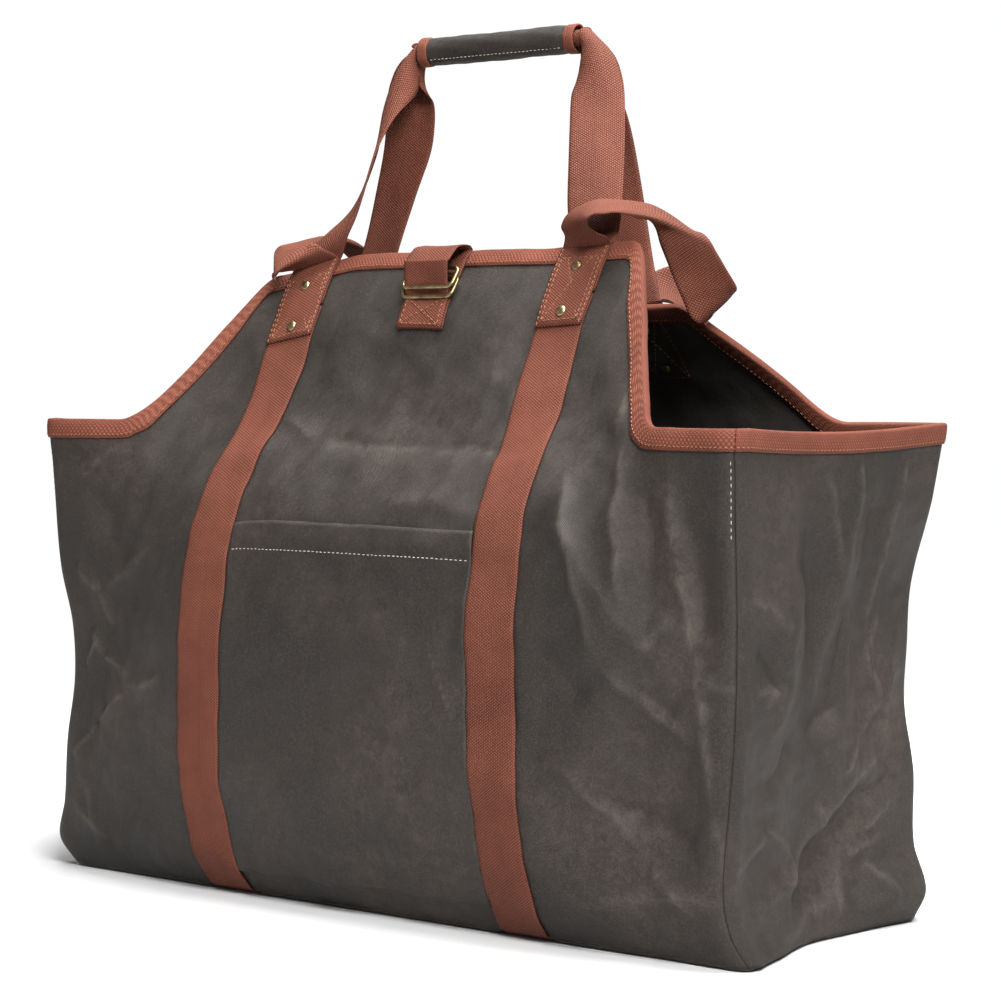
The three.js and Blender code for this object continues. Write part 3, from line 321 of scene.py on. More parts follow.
# Each crease: from (u, v) to (u, v) on the panel in mm, half width, height, rub.
creases = {
    "front": [
        (251, 304, 271, 187, 9, 2.6, 0.5), (271, 187, 288, 104, 9, 2.6, 0.5),
        (288, 104, 308, 27, 9, 2.4, 0.45), (260, 302, 282, 169, 12, -2.6, 0),
        (271, 177, 311, 177, 9, 3, 0.35), (271, 167, 311, 167, 10, -3, 0),
        (231, 193, 255, 217, 8, 2, 0.4), (234, 172, 258, 154, 8, -2.2, 0.2),
        (173, 275, 234, 203, 20, 2.6, 0.15), (161, 64, 279, 120, 22, -3, 0.15),
        (173, 34, 304, 47, 14, 2.4, 0.3), (-253, 171, -274, 153, 6, 2.2, 0.6),
        (-274, 226, -246, 208, 6, 2.2, 0.5), (-246, 208, -232, 185, 6, 2.2, 0.5),
        (-263, 180, -247, 162, 5, 1.8, 0.5), (-247, 162, -203, 151, 6, 2, 0.6),
        (-166, 153, -213, 138, 7, 2.4, 0.6), (-213, 138, -254, 111, 8, 2.6, 0.5),
        (-254, 111, -286, 84, 8, 2.6, 0.5), (-233, 130, -275, 94, 11, -3, 0),
        (-236, 207, -185, 244, 10, 2, 0.35), (-286, 54, -241, 27, 8, 2.2, 0.5),
        (-262, 71, -251, 31, 7, 2, 0.5), (-267, 290, -228, 317, 8, 1.8, 0.4),
        (-192, 76, -223, 22, 12, -2.4, 0.1), (-254, 297, -191, 191, 20, -2.6, 0),
        (202, 401, 199, 327, 8, 3, 0.55), (209, 327, 224, 222, 9, 3, 0.5),
        (167, 306, 207, 187, 11, 3.8, 0.35), (207, 187, 271, 143, 10, 3.8, 0.4),
        (152, 198, 200, 163, 16, -3.2, 0), (236, 307, 242, 203, 13, -3.4, 0),
        (-57, 320, 47, 317, 6, -1.6, 0.5), (47, 317, 133, 314, 6, -1.6, 0.5),
        (-106, 336, -64, 321, 6, 1.5, 0.5), (74, 191, 95, 142, 3, 0.5, 0.5),
        (13, 283, 110, 278, 14, 1.8, 0.25), (188, 363, 227, 307, 14, 2, 0.15),
        (173, 123, 234, 66, 11, 2.8, 0.3), (233, 66, 278, 31, 10, 2.8, 0.35),
        (204, 101, 279, 77, 14, -3, 0), (-121, 348, -98, 300, 16, 1.8, 0.2),
        (-76, 397, 31, 376, 20, 1.6, 0.1), (61, 395, 111, 337, 16, 1.6, 0.25),
        (115, 353, 121, 324, 3, 0.5, 0.5), (-10, 108, 102, 157, 24, 1.8, 0.1),
        (-42, 43, 106, 46, 16, -1.8, 0.2)],
    "back": [
        (-200, 290, 200, 300, 9, -1.5, 0.5), (-280, 300, -210, 200, 12, 2.4, 0.5),
        (-285, 150, -180, 110, 13, -2.2, 0.4), (285, 260, 190, 170, 12, 2.4, 0.5),
        (285, 120, 190, 60, 12, -2.2, 0.4), (-60, 240, 90, 120, 24, 1.8, 0.2),
        (150, 40, 285, 70, 11, 2.0, 0.5), (-280, 40, -170, 70, 11, 2.0, 0.5)],
    "right": [
        (140, 323, 136, 229, 7, 3.4, 0.6), (203, 316, 184, 198, 7, 3.2, 0.6),
        (101, 304, 132, 239, 8, 2.4, 0.45), (132, 239, 106, 147, 9, 3.4, 0.3),
        (148, 230, 123, 142, 9, -3.4, 0), (170, 115, 47, 34, 12, 4.2, 0.35),
        (188, 102, 73, 21, 13, -3.4, 0), (34, 86, 74, 66, 7, 2.8, 0.5), (74, 66, 66, 38, 7, 2.6, 0.4),
        (34, 83, -5, 58, 8, 3, 0.4), (140, 108, 172, 130, 7, 2.6, 0.6),
        (172, 130, 205, 150, 7, 2.8, 0.6), (205, 150, 184, 185, 7, 2.6, 0.6),
        (184, 185, 201, 209, 6, 2.4, 0.6), (147, 96, 199, 111, 7, 2.4, 0.5),
        (170, 84, 215, 101, 6, -2.6, 0.2), (180, 65, 210, 82, 6, 2.2, 0.5),
        (158, 46, 202, 61, 8, 2.4, 0.4), (0, 230, 46, 207, 10, 3, 0.35), (8, 205, 43, 166, 10, -3, 0),
        (43, 171, 8, 171, 8, 3, 0.5), (72, 144, 32, 105, 14, -4, 0), (161, 58, 146, 13, 8, 2.6, 0.5),
        (181, 46, 212, 20, 7, 2.6, 0.5), (50, 9, 148, 22, 14, 3.2, 0.3),
        (71, 251, 26, 130, 22, 4.5, 0.1), (170, 297, 161, 154, 14, -4, 0),
        (109, 95, 129, 54, 9, 2.6, 0.4), (99, 132, 146, 156, 9, -2.8, 0.2),
        (218, 189, 206, 110, 8, 3, 0.4)],
    "left": [
        (40, 310, 60, 130, 12, 2.8, 0.4), (110, 315, 100, 170, 13, -2.8, 0.4),
        (170, 310, 190, 120, 12, 2.8, 0.4), (220, 250, 120, 130, 12, -2.4, 0.5),
        (20, 180, 130, 90, 12, 2.4, 0.5), (200, 100, 90, 40, 12, -2.4, 0.5)],
}


def wrinkle(panel, u, v, fade):
    height, rub = np.zeros(u.shape), np.zeros(u.shape)
    for k, (a, b, c, d) in enumerate(waves[panel]):
        size = 2 * math.pi / (150 * 0.9 ** k)
        bend = 0.6 * np.sin(u * size * 0.45 * d + v * size * 0.5 * c + 9 * a)
        phase = size * (u * math.cos(3.2 * a) + v * math.sin(3.2 * a)) + 9 * b + bend
        height = height + np.sin(phase) * 1.05 * 0.9 ** k * (0.7 + 0.6 * c)
    for u0, v0, u1, v1, wide, tall, rubbed in creases[panel]:
        du, dv = u1 - u0, v1 - v0
        size = du * du + dv * dv
        wobble = 0.16 * wide * np.sin((u + v) / 17 + u0) + 0.1 * wide * np.sin((u - v) / 7.3 + v0)
        along = ((u - u0) * du + (v - v0) * dv) / size
        aside = ((u - u0) * dv - (v - v0) * du) / math.sqrt(size) + wobble
        taper = smooth(along, -0.08, 0.22) * smooth(-along, -1.08, -0.78)
        near = np.abs(aside) / wide
        height = height + CREASE_GAIN * tall * taper * np.exp(-near ** 1.2)
        rub = rub + rubbed * taper * np.exp(-(near * 3.4) ** 1.5)
    return height * fade, np.clip(rub, 0, 1)


def face_sheet(face, q, share):
    q, share = np.broadcast_arrays(np.asarray(q, float), np.asarray(share, float))
    share = np.clip(share, 0, 2)
    q = np.clip(q, -Q_MAX, Q_MAX)
    point = face_plain(face, q, share)
    step_q = np.where(q > Q_MAX - 1, -0.7, 0.7)
    step_s = np.where(share > 1, -0.02, 0.004)
    dq = (face_plain(face, q + step_q, share) - point) / step_q[..., None]
    ds = (face_plain(face, q, share + step_s) - point) / step_s[..., None]
    normal = np.cross(dq, ds)
    normal /= np.linalg.norm(normal, axis=-1, keepdims=True)
    normal *= np.where(normal[..., 1:2] * face["facing"] < 0, -1, 1)
    fade = smooth(-np.abs(q), -Q_MAX, -(Q_MAX - 26)) * smooth(share, 0, 0.05)
    fade = fade * mix(1, CALM_TOP, smooth(share, 0.88, 1.0))
    height, rub = wrinkle(face["name"], q, point[..., 2], fade)
    return point + normal * height[..., None], normal, rub


def end_sheet(side, t, share):
    t, share = np.broadcast_arrays(np.asarray(t, float), np.asarray(share, float))
    share = np.clip(share, 0, 2)
    t = np.clip(t, -T_OVER, 1 + T_OVER)
    point = end_plain(side, t, share)
    step_t = np.where(t > 0.5, -0.003, 0.003)
    step_s = np.where(share > 1, -0.02, 0.004)
    dt = (end_plain(side, t + step_t, share) - point) / step_t[..., None]
    ds = (end_plain(side, t, share + step_s) - point) / step_s[..., None]
    normal = np.cross(dt, ds)
    normal /= np.linalg.norm(normal, axis=-1, keepdims=True)
    normal *= np.where(normal[..., 0:1] * side < 0, -1, 1)
    u = mix(0, END_WIDE, t)
    fade = smooth(t, -T_OVER, 0.1) * smooth(-t, -(1 + T_OVER), -0.9) * smooth(share, 0, 0.05)
    fade = fade * mix(1, CALM_TOP, smooth(share, 0.88, 1.0))
    height, rub = wrinkle("right" if side > 0 else "left", u, point[..., 2], fade)
    return point + normal * height[..., None], normal, rub


def grid_piece(name, grid, sheet, material, crease=None, closed=False, cap=False, thick=0.0):
    grid, sheet = np.asarray(grid, float), np.asarray(sheet, float)
    if closed:
        grid = np.concatenate([grid, grid[:, :1]], 1)
        sheet = np.concatenate([sheet, sheet[:, :1]], 1)
    rows, cols = grid.shape[:2]
    work = bmesh.new()
    bmesh.ops.create_grid(work, x_segments=cols - 1, y_segments=rows - 1, size=1)
    mesh = bpy.data.meshes.new(name)
    work.to_mesh(mesh)
    work.free()
    mesh.vertices.foreach_set("co", (grid.reshape(-1, 3) * MM).ravel())
    for key, values in (("sheet", sheet), ("crease", crease)):
        if values is not None:
            layer = mesh.attributes.new(key, "FLOAT_VECTOR", "POINT")
            flat = np.zeros((rows * cols, 3), np.float32)
            values = np.asarray(values, np.float32).reshape(rows * cols, -1)
            flat[:, :values.shape[1]] = values
            layer.data.foreach_set("vector", flat.ravel())
    if closed:
        work = bmesh.new()
        work.from_mesh(mesh)
        bmesh.ops.remove_doubles(work, verts=work.verts, dist=5e-6)
        if cap:
            rim = [edge for edge in work.edges if edge.is_boundary]
            bmesh.ops.holes_fill(work, edges=rim, sides=0)
        bmesh.ops.recalc_face_normals(work, faces=work.faces)
        work.to_mesh(mesh)
        work.free()
    mesh.polygons.foreach_set("use_smooth", [True] * len(mesh.polygons))
    piece = bpy.data.objects.new(name, mesh)
    bpy.context.collection.objects.link(piece)
    for one in material if isinstance(material, (list, tuple)) else [material]:
        mesh.materials.append(one)
    if thick:
        shell = piece.modifiers.new("thickness", "SOLIDIFY")
        shell.thickness = abs(thick) * MM
        shell.offset = math.copysign(1, thick)
        shell.use_even_offset = False
        if len(mesh.materials) > 1:
            shell.material_offset = 1
    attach(piece, "root")
    return piece


def face_outwards(piece, outward):
    polygon = piece.data.polygons[len(piece.data.polygons) // 2]
    if polygon.normal.dot(Vector(outward)) < 0:
        piece.data.flip_normals()


fine = 2.6
share_rows = np.concatenate([np.linspace(0, 0.97, int(430 / fine)), np.linspace(0.975, 1.97, 8)])
for facing, node in ((-1, "front_panel"), (1, "back_panel")):
    face = faces[facing]
    step = fine if facing < 0 else fine * 1.6
    q = np.linspace(-Q_MAX, Q_MAX, int(2 * Q_MAX / step))
    rows = share_rows if facing < 0 else share_rows[::2]
    qq, ss = np.meshgrid(q, rows)
    points, normals, rub = face_sheet(face, qq, ss)
    flat = np.stack([qq, points[..., 2]], -1)
    piece = grid_piece(node + "_cloth", points, flat, [canvas, lining], rub, thick=-CLOTH)
    face_outwards(piece, (0, facing, 0))
    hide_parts(node)
for side, node in ((-1, "end_panel_left"), (1, "end_panel_right")):
    step = fine if side > 0 else fine * 1.6
    t = np.linspace(-T_OVER, 1 + T_OVER, int(260 / step))
    tt, ss = np.meshgrid(t, share_rows if side > 0 else share_rows[::2])
    points, normals, rub = end_sheet(side, tt, ss)
    flat = np.stack([tt * END_WIDE, points[..., 2]], -1)
    piece = grid_piece(node + "_cloth", points, flat, [canvas, lining], rub, thick=-CLOTH)
    face_outwards(piece, (side, 0, 0))
    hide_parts(node)


# Base. A single sheet of the same canvas between the feet of the four walls, turned in
# at its edges and raised a little where the two straps pass below it.
q = np.linspace(-Q_MAX, Q_MAX, 190)
v = np.linspace(0, 1, 60)
qq, vv = np.meshgrid(q, v)
front_foot = face_plain(faces[-1], qq, 0 * qq) + np.array([0, 2.0, 0])
back_foot = face_plain(faces[1], qq, 0 * qq) - np.array([0, 2.0, 0])
points = mix(front_foot, back_foot, vv[..., None])
edge = {side: np.abs(end_plain(side, v, 0 * v)[:, 0]) - 2.0 for side in (-1, 1)}
limit = np.where(qq < 0, edge[-1][:, None], edge[1][:, None])
outer = np.abs(points[:, [0, -1], 0])
outer = np.where(qq < 0, outer[:, :1], outer[:, 1:])
reach = np.abs(points[..., 0])
reach = mix(reach, np.minimum(reach, limit), smooth(reach, STRAP_OUT + 6, outer))
points[..., 0] = np.sign(qq) * reach
over = smooth(-np.abs(reach - (STRAP_X + 5)), -(WEB / 2 + 6), -(WEB / 2 + 1))
points[..., 2] = 2.2 + 1.9 * over
base = grid_piece("base_cloth", points, points[..., :2], lining, np.zeros(qq.shape), thick=-1.6)
face_outwards(base, (0, 0, 1))
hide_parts("base_panel")


# Binding. A narrow ribbed tape is folded over every top edge and sewn through with one row
# of orange thread near its lower edge. Each stitch is a short thread laid along its row.
def webbing_finish(name, color_low, color_high, pitch=1.9, cord=2.75, relief=0.8):
    material, shader, start = finish_of(name, 0.72, specular=0.14)
    web = attribute(start, "sheet")
    place = object_place(start)
    u, v = part_of(web, 0), part_of(web, 1)
    cords = (u * (2 * math.pi / cord)).op("SINE")
    shifted = ((v * (2 * math.pi / pitch)) + cords.op("SIGN") * (math.pi / 2)).op("SINE")
    groove = cords.op("ABSOLUTE") ** 0.5
    woven = (shifted * 0.5 + 0.5) * groove
    fuzz = noise(start, place, 1500.0, 2.0, 0.75)
    stain = noise(start, place, 22.0, 5.0, 0.65, 0.4)
    streak = noise(start, u * 0.6, 1.0, 3.0, 0.6)
    share = woven * 0.62 + ramp(start, stain, 0.3, 0.7) * 0.22 + ramp(start, streak, 0.3, 0.7) * 0.14
    share = share + fuzz * 0.16
    wire(start, blend(start, ramp(start, share, 0.08, 0.98), color_low, color_high), shader, "Base Color")
    wire(start, bump(start, woven * 0.6 + fuzz * 0.3, relief, 0.0009), shader, "Normal")
    return material


def thread_finish(name, color):
    material, shader, start = finish_of(name, 0.6)
    fuzz = noise(start, object_place(start), 2600.0, 2.0)
    darker = tuple(0.55 * c for c in color[:3]) + (1,)
    wire(start, blend(start, fuzz, darker, color), shader, "Base Color")
    return material


binding = webbing_finish("rust_binding", (0.06, 0.017, 0.01, 1), (0.215, 0.068, 0.042, 1), 3.0, 1.5, 0.6)
thread = thread_finish("orange_thread", (0.26, 0.1, 0.042, 1))


def stitches(name, rows, material, pitch=3.9, length=2.9, radius=0.42):
    one = bmesh.new()
    bmesh.ops.create_uvsphere(one, u_segments=6, v_segments=4, radius=1)
    single = bpy.data.meshes.new("one_stitch")
    one.to_mesh(single)
    ball = np.array([v.co[:] for v in one.verts])
    one.free()
    spots = []
    jitter = np.random.default_rng(len(name))
    for points, normals in rows:
        points, normals = np.asarray(points, float), np.asarray(normals, float)
        steps = np.linalg.norm(np.diff(points, axis=0), axis=1)
        length_at = np.concatenate([[0], np.cumsum(steps)])
        count = max(int(length_at[-1] / pitch), 1)
        middles = (np.arange(count) + 0.5) * length_at[-1] / count
        read = [np.stack([np.interp(middles + d, length_at, points[:, k]) for k in range(3)], 1)
                for d in (0, 0.6, -0.6)]
        up = np.stack([np.interp(middles, length_at, normals[:, k]) for k in range(3)], 1)
        along = read[1] - read[2]
        along /= np.linalg.norm(along, axis=1, keepdims=True)
        up -= along * (up * along).sum(1, keepdims=True)
        up /= np.linalg.norm(up, axis=1, keepdims=True)
        aside = np.cross(along, up)
        centre = read[0] + aside * jitter.normal(0, 0.07, (count, 1)) + up * 0.1 * radius
        turn = np.stack([up * radius, aside * radius, along * length / 2], 1)
        spots.append(centre[:, None] + np.einsum("vk,nkc->nvc", ball, turn))
    spots = np.concatenate(spots)
    work = bmesh.new()
    for _ in range(len(spots)):
        work.from_mesh(single)
    mesh = bpy.data.meshes.new(name)
    work.to_mesh(mesh)
    work.free()
    bpy.data.meshes.remove(single)
    mesh.vertices.foreach_set("co", (spots.reshape(-1, 3) * MM).ravel())
    mesh.polygons.foreach_set("use_smooth", [True] * len(mesh.polygons))
    mesh.materials.append(material)
    piece = bpy.data.objects.new(name, mesh)
    bpy.context.collection.objects.link(piece)
    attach(piece, "root")


def tape(name, node, sheet_at, columns, stretch):
    section = [(1.0, 0.5), (1.03, 1.35), (1.3, 1.85), (1.7, 1.9), (1.93, 1.75)]
    rows = []
    top, normal, _ = sheet_at(columns, 2.0 + 0 * columns)
    low, _, _ = sheet_at(columns, 1.5 + 0 * columns)
    up = top - low
    up /= np.linalg.norm(up, axis=-1, keepdims=True)
    for share, out in section:
        point, n, _ = sheet_at(columns, share + 0 * columns)
        rows.append(point + n * out)
    for angle in np.linspace(0, math.pi, 7):
        aside, above = (CLOTH / 2 + 1.6) * math.cos(angle), 0.4 + 1.3 * math.sin(angle)
        rows.append(top - normal * CLOTH / 2 + normal * aside + up * above)
    for share, out in section[::-1]:
        point, n, _ = sheet_at(columns, share + 0 * columns)
        rows.append(point - n * (CLOTH + out))
    grid = np.stack(rows)
    ripple = np.sin(columns * stretch / 9.0) * 0.12 + np.sin(columns * stretch / 3.7) * 0.06
    grid[:4] += normal[None] * ripple[None, :, None]
    across = np.arange(len(rows))[:, None] * 1.9 + 0 * columns[None]
    flat = np.stack([across, columns[None] * stretch + 0 * across], -1)
    piece = grid_piece(name, grid, flat, binding, thick=-0.9)
    face_outwards(piece, (0, 0, 1))
    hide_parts(node)
    sew = []
    point, n, _ = sheet_at(columns, 1.2 + 0 * columns)
    sew.append((point + n * 1.75, n))
    sew.append((point - n * (CLOTH + 1.75), -n))
    stitches(name + "_stitches", sew, thread, pitch=3.6, length=2.5, radius=0.36)


for facing, node in ((-1, "binding_front"), (1, "binding_back")):
    tape(node + "_tape", node, lambda c, s, f=faces[facing]: face_sheet(f, c, s),
         np.linspace(-Q_MAX, Q_MAX, 330), 1.0)
for side, node in ((-1, "binding_end_left"), (1, "binding_end_right")):
    tape(node + "_tape", node, lambda c, s, k=side: end_sheet(k, c, s),
         np.linspace(-T_OVER, 1 + T_OVER, 120), END_WIDE)


# Straps. Ribbed cotton webbing 38 mm wide, one below each handle. It is sewn along both
# edges up the front, runs flat under the base and is sewn up the back. A band is a list of
# stations, each a middle and a width vector.
webbing = webbing_finish("rust_webbing", (0.03, 0.0085, 0.005, 1), (0.205, 0.064, 0.0385, 1))


def station_on(face, centre_q, share, layer, flip=1):
    left, normal_l, _ = face_sheet(face, centre_q - WEB / 2, share)
    right, normal_r, _ = face_sheet(face, centre_q + WEB / 2, share)
    middle, normal, _ = face_sheet(face, centre_q, share)
    lift = GAP + 1.7 * smooth(np.asarray(share), 0.93, 1.0) + layer * (WEB_T + GAP) + WEB_T / 2
    centre = (left + right) / 2 + (normal_l + normal_r) / 2 * lift
    return centre, (right - left) * flip


def spline(values, steps=10):
    values = np.asarray(values, float)
    out = []
    for i in range(1, len(values) - 2):
        p0, p1, p2, p3 = values[i - 1:i + 3]
        for t in np.arange(steps) / steps:
            out.append(0.5 * (2 * p1 + (p2 - p0) * t + (2 * p0 - 5 * p1 + 4 * p2 - p3) * t ** 2
                              + (3 * p1 - p0 - 3 * p2 + p3) * t ** 3))
    out.append(values[-2])
    return np.array(out)


def band(name, start, free, end, node, wave=0.5):
    centres, widths = [s[0] for s in start], [s[1] for s in start]
    if free:
        knots = start[-2:] + free + end[:2]
        centres = centres[:-1] + list(spline([k[0] for k in knots])[:-1])
        widths = widths[:-1] + list(spline([k[1] for k in knots])[:-1])
    centres = np.array(centres + [s[0] for s in end])
    widths = np.array(widths + [s[1] for s in end])
    ahead = np.gradient(centres, axis=0)
    normal = np.cross(widths, ahead)
    normal /= np.linalg.norm(normal, axis=1, keepdims=True)
    gaps = np.linalg.norm(np.diff(centres, axis=0), axis=1)
    run = np.concatenate([[0], np.cumsum(gaps)])
    across = np.linspace(-1, 1, 15)
    size = np.linalg.norm(widths, axis=1)
    share = np.clip(size / WEB, 0.2, 0.999)
    flat_angle, gathered_size = 0.02, 0.66
    angles = np.linspace(flat_angle, 3.0, 400)
    half = np.interp(-share, -np.sin(angles) / angles, angles)
    half[:len(start)] = flat_angle
    half[len(half) - len(end):] = flat_angle
    half = np.convolve(np.pad(half, 3, "edge"), np.ones(7) / 7, "valid")
    unit = widths / size[:, None]
    swing = across[None] * half[:, None]
    radius = (mix(gathered_size, 1.0, smooth(share, 0.3, 0.7)) * WEB / (2 * half))[:, None]
    chord = radius * np.sin(swing)
    rise = radius * (np.cos(swing) - (np.sin(half) / half)[:, None])
    if free:
        slack = wave * np.sin(run[:, None] / 23 + across[None] * 1.7)
        rise = rise + slack * (smooth(run, 0, 30) * smooth(run[-1] - run, 0, 30))[:, None]
    out = normal[:, None] * np.cos(swing)[..., None] + unit[:, None] * np.sin(swing)[..., None]
    body = centres[:, None] + unit[:, None] * chord[..., None] + normal[:, None] * rise[..., None]
    slim = 0.5 * WEB_T * np.where(np.abs(across) > 0.99, 0.45, 1.0)[None, :, None]
    upper, lower = body + out * slim, body - out * slim
    grid = np.concatenate([upper, lower[:, ::-1]], 1)
    u = np.concatenate([across, across[::-1]]) * WEB / 2
    flat = np.stack(np.broadcast_arrays(u[None], run[:, None]), -1)
    piece = grid_piece(name, grid, flat, webbing, closed=True, cap=True)
    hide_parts(node)
    return centres, unit, normal


def edge_rows(data, start, stop):
    centres, unit, normal = (values[start:stop] for values in data)
    return [(centres + unit * s * (WEB / 2 - 1.7) + normal * (WEB_T / 2 + 0.05), normal)
            for s in (-1, 1)]


shares = np.concatenate([np.linspace(0.948, 0.02, 110), [0.008]])
for side, name in ((-1, "left"), (1, "right")):
    front = [station_on(faces[-1], side * STRAP_X, s, 0) for s in shares]
    back = [station_on(faces[1], side * STRAP_X, s, 0) for s in shares[::-1]]
    ends = [front[-1], back[0]]
    flat_run = [(mix(ends[0][0], ends[1][0], k) * [1, 1, 0] + [0, 0, WEB_T / 2 + 0.02],
                 mix(ends[0][1], ends[1][1], k) * [1, 1, 0]) for k in np.linspace(0.04, 0.96, 24)]
    data = band(f"strap_{name}_webbing", front + flat_run + back, [], [], f"strap_{name}")
    count = len(shares)
    rows = edge_rows(data, 0, count - 1) + edge_rows(data, len(data[0]) - count + 1, len(data[0]))
    stitches(f"strap_{name}_stitches", rows, thread)


# Carrying handles. Each is one length of the same webbing, sewn over the top of both straps
# of its panel. It turns edge on and gathers to enter the grip. A route gives shares of the
# way from its foot to the grip, and how the width turns, leans and narrows.
def widths_of(turn, lean, wide):
    around, upward = math.radians(turn), math.radians(lean)
    return np.array([math.cos(around) * math.cos(upward), math.sin(around) * math.cos(upward),
                     math.sin(upward)]) * wide * WEB


handle_routes = {
    (-1, -1): [(0.22, 0.07, 0.12, -20, 0, 1), (0.52, 0.24, 0.28, -44, 0, 1), (0.58, 0.52, 0.52, -48, 0, 1),
               (0.6, 0.74, 0.73, -36, -8, 0.95), (0.76, 0.88, 0.88, -25, -32, 0.68),
               (0.92, 1, 1, -12, -76, 0.32)],
    (-1, 1): [(-0.05, 0.04, 0.05, 5, 0, 1), (0.06, 0.21, 0.22, 20, 0, 1), (0.24, 0.47, 0.46, 24, 0, 1),
              (0.45, 0.74, 0.7, 20, 2, 1), (0.64, 0.9, 0.88, 18, 20, 0.72), (0.87, 1, 1, 16, 74, 0.34)],
    (1, -1): [(0.2, 0.8, 0.235, 172, 0, 1), (0.36, 1.45, 0.444, 182, 0, 1), (0.56, 1.65, 0.636, 196, 2, 1),
              (0.67, 1.45, 0.82, 196, 10, 0.98), (0.8, 1.15, 0.93, 184, 45, 0.6),
              (0.97, 1, 1, 172, 78, 0.3)],
    (1, 1): [(0.3, 1.2, 0.16, 188, 0, 1), (0.5, 1.5, 0.39, 196, 0, 1), (0.67, 1.5, 0.65, 196, -5, 0.95),
             (0.78, 1.35, 0.79, 194, -22, 0.8), (0.87, 1.1, 0.94, 190, -58, 0.5),
             (0.97, 1, 1, 188, -78, 0.3)],
}
GRIP_X, GRIP_Y, GRIP_Z, GRIP_HALF, GRIP_BAND = -2.0, 35.0, 599.0, 62.0, 8.0
foot_shares = np.concatenate([np.linspace(0.953, 1.0, 7), np.linspace(1.1, 2.0, 7)])
for facing, name in ((-1, "front"), (1, "back")):
    face = faces[facing]
    feet, free = {}, {}
    for side in (-1, 1):
        flip = 1 if side * facing > 0 else -1
        feet[side] = [station_on(face, side * STRAP_X, s, 0, flip) for s in foot_shares]
        origin = feet[side][-1][0]
        goal = np.array([GRIP_X + side * (GRIP_HALF + GRIP_BAND), GRIP_Y + facing * 2.4, GRIP_Z])
        sign = 1 if side < 0 else -1
        free[side] = [(origin + (goal - origin) * np.array([a, b, c]),
                       widths_of(turn, lean, wide) * sign)
                      for a, b, c, turn, lean, wide in handle_routes[(facing, side)]]
    gathered = [(np.array([GRIP_X + k * (GRIP_HALF + GRIP_BAND), GRIP_Y + facing * 1.4, GRIP_Z]),
                 np.array([0, 0, facing * 10.0])) for k in (-1, -0.4, 0.4, 1)]
    data = band(f"handle_{name}_webbing", feet[-1], free[-1] + gathered + free[1][::-1],
                feet[1][::-1], f"handle_{name}")
    rows = edge_rows(data, 0, 14) + edge_rows(data, len(data[0]) - 14, len(data[0]))
    stitches(f"handle_{name}_stitches", rows, thread)


# Side handles. Looser loops of the webbing that start on the same patches, lie over the
# carrying handles there, and bend out over the two ends of the bag. Each patch is sewn with
# a crossed box.
def box_rows(face, side, low, high, layer, half_width):
    lines = []
    levels = np.linspace(low, high, 16)
    across = np.linspace(-half_width, half_width, 16)
    paths = [(-half_width + 0 * levels, levels), (half_width + 0 * levels, levels),
             (across, low + 0 * across), (across, high + 0 * across),
             (across, np.linspace(low, high, 16)), (across, np.linspace(high, low, 16))]
    for du, share in paths:
        point, normal, _ = face_sheet(face, side * STRAP_X + du, share)
        lift = GAP + 1.7 * smooth(share, 0.93, 1.0) + layer * (WEB_T + GAP) + WEB_T + 0.05
        lines.append((point + normal * lift[:, None], normal))
        lines.append((point - normal * (CLOTH + 0.05), -normal))
    return lines


side_routes = {
    -1: [(0.0, -0.22, -0.1, 18, 26), (0.05, -0.35, -0.1, 80, 42), (0.21, -0.37, -0.2, 130, 28),
         (0.38, -0.12, 0.02, 128, 26), (0.42, 0.18, 0.18, 116, 24), (0.38, 0.5, 0.36, 100, 22),
         (0.36, 0.86, 0.46, 74, 8), (0.28, 1.25, 0.3, 40, -14), (0.13, 1.5, -0.3, 12, -10),
         (0.01, 1.36, -0.85, 0, 0)],
    1: [(-0.04, -0.06, 0.24, -8, -4), (-0.08, -0.14, 0.4, -17, -10), (-0.06, -0.2, 0.6, -33, -15),
        (0.01, -0.18, 0.8, -49, -16), (0.15, -0.08, 0.93, -63, -18), (0.38, 0.12, 0.88, -93, -12),
        (0.59, 0.31, 0.62, -117, 5), (0.73, 0.49, 0.35, -150, 16), (0.78, 0.59, -0.06, -153, 9),
        (0.83, 0.71, -0.51, -146, 2), (0.88, 0.86, -1.02, -129, -12), (0.84, 1.06, -1.36, -99, -33),
        (0.6, 1.64, -1.0, -82, -46), (0.22, 1.68, -0.84, -50, -60), (0.03, 1.48, -0.9, -14, -35)],
}
patch_shares = np.concatenate([np.linspace(0.9, 1.0, 12), np.linspace(1.1, 2.0, 7)])
for side, name in ((-1, "left"), (1, "right")):
    front = [station_on(faces[-1], side * STRAP_X, s, 1) for s in patch_shares]
    back = [station_on(faces[1], side * STRAP_X, s, 1) for s in patch_shares[::-1]]
    from_y, to_y = front[-1][0][1], back[0][0][1]
    free = [(np.array([side * (STRAP_X + a * 72), mix(from_y, to_y, b), 450 + c * 30]),
             widths_of(turn, lean, 1)) for a, b, c, turn, lean in side_routes[side]]
    data = band(f"side_handle_{name}_webbing", front, free, back, f"side_handle_{name}")
    rows = edge_rows(data, 0, 19) + edge_rows(data, len(data[0]) - 19, len(data[0]))
    for facing in (-1, 1):
        rows += box_rows(faces[facing], side, 0.908, 1.02, 1, WEB / 2 - 4.5)
    stitches(f"side_handle_{name}_stitches", rows, thread)


